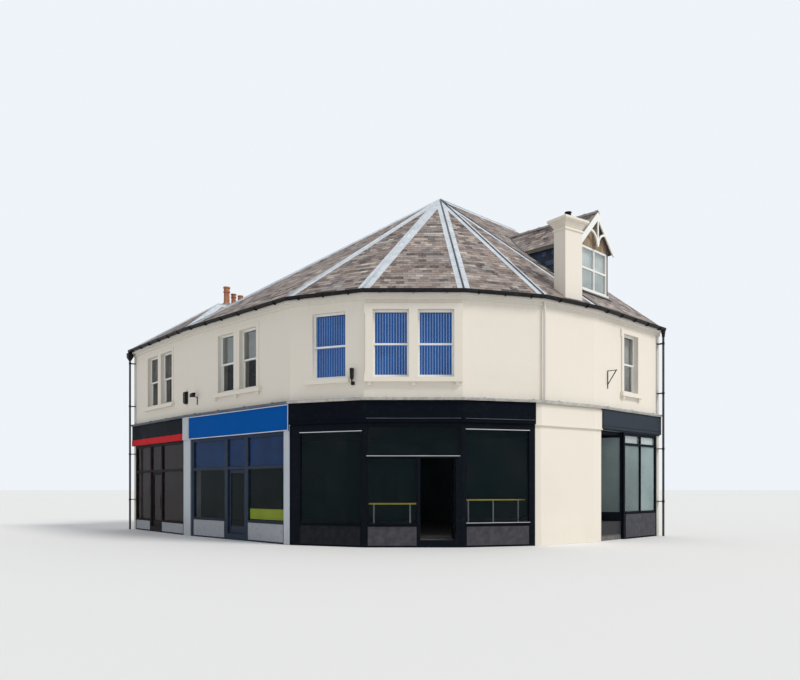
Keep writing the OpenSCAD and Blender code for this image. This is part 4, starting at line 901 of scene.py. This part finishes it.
shopPlan = {
    # face: lights as left, right, foot, head
    0: [(0.321, 1.76, 0.45, 2.24), (0.321, 1.76, 2.31, 3.21), (1.85, 2.84, 2.31, 3.21),
        (2.93, 4.87, 0.45, 2.24), (2.93, 4.87, 2.31, 3.21)],
    1: [(0.34, 2.3, 0.65, 2.24), (0.34, 2.3, 2.31, 3.21), (2.475, 3.465, 2.31, 3.21),
        (3.64, 5.505, 0.65, 2.24), (3.64, 5.505, 2.31, 3.21)],
    2: [(0.33, 2.27, 0.65, 3.24)],
    3: [(0.09, 1.47, 0.65, 2.48), (0.09, 2.65, 2.55, 3.35)],
    4: [(0.09, 2.01, 0.65, 3.29)],
    6: [(1.9, 2.9225, 0.87, 3.04), (1.9, 2.9225, 3.085, 3.35),
        (2.9675, 3.99, 0.87, 3.04), (2.9675, 3.99, 3.085, 3.35)]}
shopPaints = {"left": ("brown_black_paint", brownPaint), "second": ("blue_grey_paint", frameBlue),
              "corner": ("black_paint", blackPaint)}
# a run is its first face, its start there, its last face and its end there
fascia = {"streetFoot": 3.3, "cornerFoot": 3.47, "top": 4.08, "face": -0.08,
          "runs": [(2, 0.02, 4, 2.17), (6, 0.46, 6, 4.3)], "leftRun": (0, 0.02, 0, 4.93),
          "lines": [(3, 0.06, 3, 2.68), (4, 0.06, 4, 2.15)], "board": (0, 0.01, 0, 4.95)}
# profiles as (outward, up)
profiles = {
    "cyma": [(0.001, 0.002), (0.092, 0.002), (0.092, 0.01), (0.1, 0.013), (0.112, 0.016),
             (0.124, 0.022), (0.134, 0.03), (0.142, 0.037), (0.154, 0.04), (0.164, 0.042),
             (0.168, 0.046), (0.168, 0.064), (0.001, 0.076)],
    "lead": [(0.001, 0.077), (0.1685, 0.065), (0.1685, 0.052), (0.1715, 0.052),
             (0.1715, 0.068), (0.002, 0.081)],
    "bead": [(0.0, -0.011), (0.01, -0.011), (0.016, -0.004), (0.016, 0.004),
             (0.01, 0.011), (0.0, 0.011)],
    "fillet": [(0.0, -0.022), (0.024, -0.022), (0.03, -0.016), (0.03, 0.016), (0.0, 0.016)],
    "line": [(0.0, -0.006), (0.017, -0.006), (0.021, 0.0), (0.017, 0.006), (0.0, 0.006)],
    "board": [(0.0, -0.124), (0.012, -0.124), (0.018, -0.116), (0.018, 0.1),
              (0.012, 0.108), (0.0, 0.108)],
    "sill": [(0.0, -0.03), (0.045, -0.03), (0.05, -0.024), (0.05, -0.012), (0.0, 0.0)],
    "nosing": [(0.0005, -0.11), (0.055, -0.11), (0.06, -0.102), (0.06, -0.014), (0.0005, 0.0)]}


def trim(name, run, y, z):
    # one of the profiles carried along a level run of the street faces
    return sweep(streetLine(*run, y, z), profiles[name])


def makeCornice():
    # a cyma carried along the seven street faces, its top weathered to the wall, under a lead
    # sheet with a welt every 1.5
    top, run = fascia["top"], (0, 0, 6, faceLength(6))
    cyma = trim("cyma", run, 0.0, top)
    piece = addPiece("cornice_moulding", [cyma], "grey_cream_paint", creamPaint)
    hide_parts("shop_cornice")
    welts = [faceBox(i, x - 0.012, x + 0.012, -0.172, -0.003, top + 0.067, top + 0.09)
             for i in range(7) for x in np.arange(0.6, faceLength(i) - 0.2, 1.5)]
    addPiece("cornice_lead", [trim("lead", run, 0.0, top)] + welts, "lead_sheet", flashingLead)


def makeFasciaTrim():
    # beads along the fascias, fillets that close their joint with the shopfronts, thin lines
    # over the corner shop, a red board and a metal edge
    face, foot, streetFoot, top = (fascia[k] for k in ("face", "cornerFoot", "streetFoot", "top"))
    heights = (foot + 0.012, foot + 0.105, top - 0.03)
    beads = [trim("bead", run, face, z) for run in fascia["runs"] for z in heights]
    beads.append(trim("bead", fascia["leftRun"], face, heights[2]))
    beads += [trim("fillet", run, -0.001, foot - 0.018) for run in fascia["runs"]]
    addPiece("fascia_beads", beads, "black_paint", fasciaBlack)
    lines = [trim("line", run, face, heights[1]) for run in fascia["lines"]]
    addPiece("fascia_lines", lines, "black_paint", leadDark)
    board = trim("board", fascia["board"], face, streetFoot + 0.125)
    addPiece("fascia_red_board", [board], "brown_black_paint", redPaint)
    edge = border(1, 0.1, 5.8, streetFoot + 0.004, top - 0.012, -0.094, face, 0.024)
    addPiece("blue_fascia_edge", [edge], "pale_stone", paleMetal)


# one long sill lies under both lights of the last shop: left, right, height
risers = {"front": -0.034, "back": -0.0195, "foot": 0.05, "longSill": (1.9, 3.99, 0.87),
          # face, left, right, head
          "pale": [(0, 0.345, 1.74, 0.385), (0, 2.95, 4.85, 0.385),
                   (1, 0.365, 2.28, 0.575), (1, 3.66, 5.48, 0.575)],
          "dark": [(2, 0.355, 2.25, 0.575), (3, 0.105, 1.455, 0.575),
                   (4, 0.105, 1.99, 0.575), (6, 1.915, 3.975, 0.8)]}


def makeRisers():
    # panels under the lights, and sills that throw the rain clear of them
    front, back, foot = risers["front"], risers["back"], risers["foot"]
    for name, slotName, material in (
            ("pale", "pale_stone", palePaint), ("dark", "black_paint", darkRiser)):
        panels = [faceBox(i, x0, x1, front, back, foot, z) for i, x0, x1, z in risers[name]]
        addPiece(name + "_risers", panels, slotName, material)
    runs = {i: [(x0, x1, z0) for x0, x1, z0, z1 in lights if z0 < 2]
            for i, lights in shopPlan.items()}
    runs[6] = [risers["longSill"]]
    for name, shop, faces in (
            ("street", "left", [0]), ("second", "second", [1]), ("corner", "corner", [2, 3, 4, 6])):
        sills = [trim("sill", (i, x0, i, x1), back, z) for i in faces for x0, x1, z in runs[i]]
        addPiece(name + "_shop_sills", sills, *shopPaints[shop])


# face, left, right, front, back, foot, head
paleBeads = [
    (2, 0.32, 2.3, -0.027, -0.0195, 3.226, 3.246), (4, 0.08, 2.02, -0.027, -0.0195, 3.276, 3.296),
    (4, 0.08, 2.02, -0.056, -0.03, 0.668, 0.684), (3, 0.07, 2.66, -0.03, -0.0195, 2.53, 2.548)]


def makeBeads():
    # glazing beads round every shop light, and pale metal ones over those of the corner shop
    for name, shop, faces in (
            ("left", "left", [0]), ("second", "second", [1]), ("corner", "corner", [3]),
            ("right", "corner", [6]), ("side_window", "corner", [2, 4])):
        beads = [border(i, *light, 0.004, 0.029, 0.016) for i in faces for light in shopPlan[i]]
        addPiece(name + "_beads", beads, *shopPaints[shop])
    addPiece("pale_beads", [faceBox(*bead) for bead in paleBeads], "lead_sheet", paleMetal)


makeCornice()
makeFasciaTrim()
makeRisers()
makeBeads()
print("shopfront trim made")


def cloth(name, dark, pale, glow):
    # thin cloth or film: daylight from the room behind it is a faint glow of its own colour
    def paint(place):
        colour = place.noise(2.0).tones(dark, pale)
        return colour, 0.8 + 0.1 * place.noise(40.0), None, {"Emission Color": colour}
    return finish(name, paint, Emission_Strength=glow)


# dark tone, pale tone, glow
clothLook = {
    # the blue blind cloth is paler than the cloth itself: painted light for the daylight through
    # the glass
    "blind_cloth_blue": ((0.01, 0.15, 0.56), (0.016, 0.19, 0.68), 0.22),
    "blind_lining_pale": ((0.5, 0.66, 0.8), (0.6, 0.74, 0.86), 0.38),
    "roller_blind_pale": ((0.5, 0.56, 0.57), (0.62, 0.68, 0.68), 0.16),
    "top_blind_pale": ((0.62, 0.63, 0.64), (0.74, 0.75, 0.76), 0.34),
    # the rear blinds are dark and without glow: painted shade that keeps the rooms dim
    "rear_blind_shade": ((0.032, 0.05, 0.055), (0.052, 0.078, 0.084), 0.0),
    "net_curtain": ((0.6, 0.63, 0.62), (0.72, 0.74, 0.72), 0.16),
    "dormer_curtain": ((0.7, 0.78, 0.78), (0.82, 0.88, 0.88), 0.42),
    "transom_film_blue": ((0.01, 0.062, 0.26), (0.018, 0.09, 0.33), 0.06),
    "window_strip_green": ((0.46, 0.6, 0.02), (0.56, 0.7, 0.04), 0.15)}
(blindCloth, liningCloth, shadeCloth, topCloth, rearShadeCloth, netCloth, dormerCloth, blueFilm,
 greenFilm) = (cloth(name, *look) for name, look in clothLook.items())

# face and left edge of the windows at the rear, three on each storey
rearWindows = [(8, (faceLength(8) - 0.95) / 2),
               *((9, faceLength(9) * part - 0.475) for part in (0.3, 0.7))]
# windows as face, left edge and width; lining as depth, foot and head
slatBlinds = {"slat": 0.058, "gap": 0.019, "turn": 8.0, "depth": 0.262, "thick": 0.0012,
              "windows": [(2, 0.73, 1.05), (3, 0.245, 1.0), (3, 1.495, 1.0)],
              "heights": (4.8, 6.56), "lining": (0.352, 4.76, 6.57)}
roller = {"left": 0.05, "right": 0.88, "depth": 0.302, "height": 6.555, "radius": 0.022}
hangings = {
    # piece: windows, left and right edge in each, depth, foot, head, carrier, finish, folds and
    # their depth
    "net_curtain": ([(6, 1.83), (6, 2.38)], 0, 0.33, 0.28, 4.78, 6.56, "sash_windows", netCloth,
                    4, 0.022),
    "dormer_curtain": ([(6, 0.935), (6, 1.725)], 0, 0.78, 1.112, 8.16, 9.48, "dormer_window",
                       dormerCloth, 7, 0.018),
    "top_blind": ([(6, 1.915), (6, 2.982)], 0, 0.993, 0.094, 3.07, 3.36, "right_shopfront",
                  topCloth),
    "rear_blind": (rearWindows, -0.04, 0.99, 0.306, 1.08, 2.57, "sash_windows", rearShadeCloth),
    "roller_blind": ([(1, 1.89), (1, 3.15)], 0.06, 0.87, roller["depth"], 5.72, roller["height"],
                     "blind_rollers", shadeCloth)}


def hangSlats(name, i, x, w, z0, z1):
    # hanging slats, each turned about its own upright axis:
    # centre of slat k = middle of the window + (k - (count - 1) / 2) * pitch
    slat, y, t = slatBlinds["slat"], slatBlinds["depth"], slatBlinds["thick"]
    pitch = slat + slatBlinds["gap"]
    count = int(w / pitch)
    centre = x + w / 2 + (np.arange(count) - (count - 1) / 2) * pitch
    turn = math.radians(slatBlinds["turn"])
    dx, dy = slat / 2 * math.cos(turn), slat / 2 * math.sin(turn)
    ring = [(centre - dx, y - dy - t), (centre + dx, y + dy - t),
            (centre + dx, y + dy + t), (centre - dx, y - dy + t)]
    piece = addPiece(name, [ringPrisms(i, ring, z0, z1)], "blue_paint", blindCloth)


def hangCloth(name, i, x0, x1, y, z0, z1, carrier, material, folds=0, deep=0.0):
    # a sheet of upright folds: depth = y + deep * sin(2 pi folds s), closed to a thin shell
    s = np.linspace(0, 1, folds * 8 + 2)
    x = x0 + s * (x1 - x0)
    wave = y + deep * np.sin(2 * math.pi * folds * s)
    half, n = 0.0015, len(x)
    points = np.concatenate([
        onFace(i, x, wave + side, z) for side in (-half, half) for z in (z0, z1)])
    a = np.arange(n - 1)
    b, c, d = a + n, a + 2 * n, a + 3 * n
    quads = np.concatenate([np.stack(corner, 1) for corner in (
        (a, a + 1, b + 1, b), (c + 1, c, d, d + 1), (b, b + 1, d + 1, d), (a + 1, a, c, c + 1))]
        + [[(2 * n, 0, n, 3 * n), (n - 1, 3 * n - 1, 4 * n - 1, 2 * n - 1)]])
    piece = addPiece(name, [(points, quads, [])], "white_paint", material, smooth=folds > 0)


def makeBlinds():
    for k, (i, x, w) in enumerate(slatBlinds["windows"]):
        hangSlats("slat_blind_%d" % k, i, x, w, *slatBlinds["heights"])
        hangCloth("blind_lining_%d" % k, i, x + 0.01, x + w - 0.01, *slatBlinds["lining"],
                  "sash_windows", liningCloth)
    for name, (windows, x0, x1, *rest) in hangings.items():
        for k, (i, x) in enumerate(windows):
            hangCloth("%s_%d" % (name, k), i, x + x0, x + x1, *rest)
    rollers = []
    for i, x in hangings["roller_blind"][0]:
        ends = [x + roller["left"], x + roller["right"]]
        path = onFace(i, ends, roller["depth"], roller["height"])
        rollers.append(sweep(path, ringOf(roller["radius"], 12)))
    addPiece("blind_rollers", rollers, "pale_stone", shadeCloth)


films = {"front": 0.0405, "back": 0.042, "strip": (3.665, 5.48, 0.69, 1.01)}
bars = {"back": 0.55, "postDepth": 0.36, "postFoot": 0.202, "postRadius": 0.022}
# face: left, right, front, foot and head of a narrow top behind the glass, and its posts
barTops = {4: (0.15, 1.98, 0.2, 1.295, 1.325, (0.3, 1.06, 1.84)),
           3: (0.12, 1.45, 0.22, 1.185, 1.22, (0.26, 1.28))}


def makeInside():
    # films on the second shop's glass, and tops on posts in the corner shop
    front, back = films["front"], films["back"]
    transoms = [faceBox(1, x0 + 0.015, x1 - 0.015, front, back, z0 + 0.012, z1 - 0.012)
                for x0, x1, z0, z1 in shopPlan[1] if z0 > 2]
    addPiece("transom_films", transoms, "blue_paint", blueFilm)
    x0, x1, z0, z1 = films["strip"]
    addPiece("window_strip", [faceBox(1, x0, x1, front, back, z0, z1)], "blue_paint", greenFilm)
    tops = [faceBox(i, *bar[:3], bars["back"], *bar[3:5]) for i, bar in barTops.items()]
    addPiece("window_bar_tops", tops, "floor_boards", woodYellow)
    posts = [upright(i, x, bars["postDepth"], bars["postFoot"], bar[3], bars["postRadius"], 12)
             for i, bar in barTops.items() for x in bar[5]]
    addPiece("window_bar_posts", posts, "lead_sheet", paleMetal)


makeBlinds()
makeInside()
print("insides of the windows made")

pipes = {"radius": 0.046, "front": 0.2086, "collar": 0.07, "collars": (1.15, 2.95, 4.85, 6.55),
         "places": ((0, 0.11), (6, 4.2)), "rearRadius": 0.034, "rearIn": 0.15, "rearDepth": -0.088,
         # rainwater head: half widths and heights of its three steps
         "head": ((0.045, 0.095, 6.7, 6.82), (0.1, 0.1, 6.82, 6.96), (0.108, 0.108, 6.96, 6.985))}


def makePipeCollars():
    r, y = pipes["radius"], -pipes["front"]
    places = [(i, x, z) for i, x in pipes["places"] for z in pipes["collars"]]
    parts = [upright(i, x, y, z, z + pipes["collar"], r, 16) for i, x, z in places]
    # each collar is held off the wall by a pair of ears
    parts += [faceBox(i, x - 0.075, x + 0.075, y + 0.03, y + 0.205, z + 0.022, z + 0.05)
              for i, x, z in places]
    # outlets: a tapered drop under the gutter, radius = r * (1 + 0.6 t)
    for i, x in pipes["places"]:
        points, quads, caps = upright(i, x, y, 6.8, 7.03, r, 16)
        centre = onFace(i, x, y, 7.03)[:2]
        points[1, :, :2] = centre + (points[1, :, :2] - centre) * 1.6
        parts.append((points, quads, caps))
    # a tapered rainwater head where the left pipe meets the gutter
    i, x = pipes["places"][0]
    a, b = np.array([(-1, -1), (1, -1), (1, 1), (-1, 1)]).T
    for r0, r1, z0, z1 in pipes["head"]:
        low, high = (onFace(i, x + a * s, y + b * s, z)[None] for s, z in ((r0, z0), (r1, z1)))
        parts.append(prisms(low, high))
    addPiece("pipe_collars", parts, "black_paint", ironPaint)


def makeRearGoods():
    # the rear eaves of the taller roof: a board, a half-round gutter, and a pipe beside the bay
    length, y = faceLength(8), pipes["rearDepth"]
    board = faceBox(8, 0.004, length - 0.004, -0.024, -0.0005, 6.935, 7.098)
    addPiece("rear_eaves_board", [board], "grey_cream_paint", eavesPaint)
    ends = onFace(8, [0.004, length - 0.03], y, gutter["z"])
    x = length - pipes["rearIn"]
    parts = [sweep(ends, gutterProfile(0.0)), upright(8, x, y, 0.1, 7.03, pipes["rearRadius"], 16)]
    for z in pipes["collars"]:
        parts.append(upright(8, x, y, z, z + pipes["collar"], pipes["radius"], 16))
        parts.append(faceBox(8, x - 0.065, x + 0.065, y + 0.03, -0.001, z + 0.022, z + 0.05))
    addPiece("rear_gutter_and_pipe", parts, "black_paint", ironPaint)
    sills = [sweep(onFace(i, [x - 0.08, x + 1.03], 0.0, z), profiles["nosing"])
             for i, x in rearWindows for z in (4.716, 1.146)]
    addPiece("rear_sills", sills, "pale_stone", paleStone)


makePipeCollars()
makeRearGoods()
print("rainwater goods made")

studio = {"floor": (0.78, 0.78, 0.775), "reach": 400.0, "floorZ": -0.002,
          "backdrop": (0.86, 0.9, 0.95), "sky": (0.93, 0.96, 1.0), "ambient": 0.62, "sun": 1.9,
          "sunColour": (1.0, 0.97, 0.92), "sunAzimuth": -28.0, "sunHeight": 46.0, "softness": 18.0}
floorPaint = mottled("studio_floor_paint", studio["floor"],
                     tuple(1.01 * t for t in studio["floor"]), (0.02, 1.0), (0.9,))


def makeStage():
    mesh = bpy.data.meshes.new("studio_floor")
    r, z = studio["reach"], studio["floorZ"]
    mesh.from_pydata([(-r, -r, z), (r, -r, z), (r, r, z), (-r, r, z)], [], [(0, 1, 2, 3)])
    mesh.materials.append(floorPaint)
    newObject("studio_floor", mesh)


def makeLight():
    world = bpy.data.worlds.new("studio")
    world.use_nodes = True
    bpy.context.scene.world = world
    tree = world.node_tree
    ground = tree.nodes["Background"]
    ground.inputs["Color"].default_value = (*studio["sky"], 1)
    ground.inputs["Strength"].default_value = studio["ambient"]
    # camera, mirror and glass rays see the pale backdrop, all others the plain light
    start = Wire(tree)
    seen, glossy, through = (start.add("ShaderNodeLightPath", out="Is %s Ray" % kind)
                             for kind in ("Camera", "Glossy", "Transmission"))
    seen = seen.maths("MAXIMUM", seen.maths("MAXIMUM", seen, glossy), through)
    back = start.add("ShaderNodeBackground", {}, {"Color": studio["backdrop"], "Strength": 1.0})
    plain = Wire(tree, ground.outputs[0])
    mixed = start.add("ShaderNodeMixShader", {}, {0: seen, 1: plain, 2: back})
    tree.links.new(mixed.socket, tree.nodes["World Output"].inputs["Surface"])
    lamp = bpy.data.lights.new("studio_sun", "SUN")
    lamp.energy = studio["sun"]
    lamp.angle = math.radians(studio["softness"])
    lamp.color = studio["sunColour"]
    turn = math.radians(studio["sunAzimuth"] + 90)
    sun = newObject("studio_sun", lamp)
    sun.rotation_euler = (math.radians(90 - studio["sunHeight"]), 0, turn)


viewPlace = (-0.373, -20.43, 1.67)
view = {"lens": 33.165, "sensor_width": 36.0, "shift_y": 0.184, "clip_end": 500.0}


def makeCamera():
    data = bpy.data.cameras.new("camera")
    for key, value in view.items():
        setattr(data, key, value)
    camera = newObject("camera", data)
    camera.location = viewPlace
    camera.rotation_euler = (math.radians(90), 0, 0)
    bpy.context.scene.camera = camera


makeStage()
makeLight()
makeCamera()
bpy.context.scene.view_settings.view_transform = "Standard"
print("stage set")
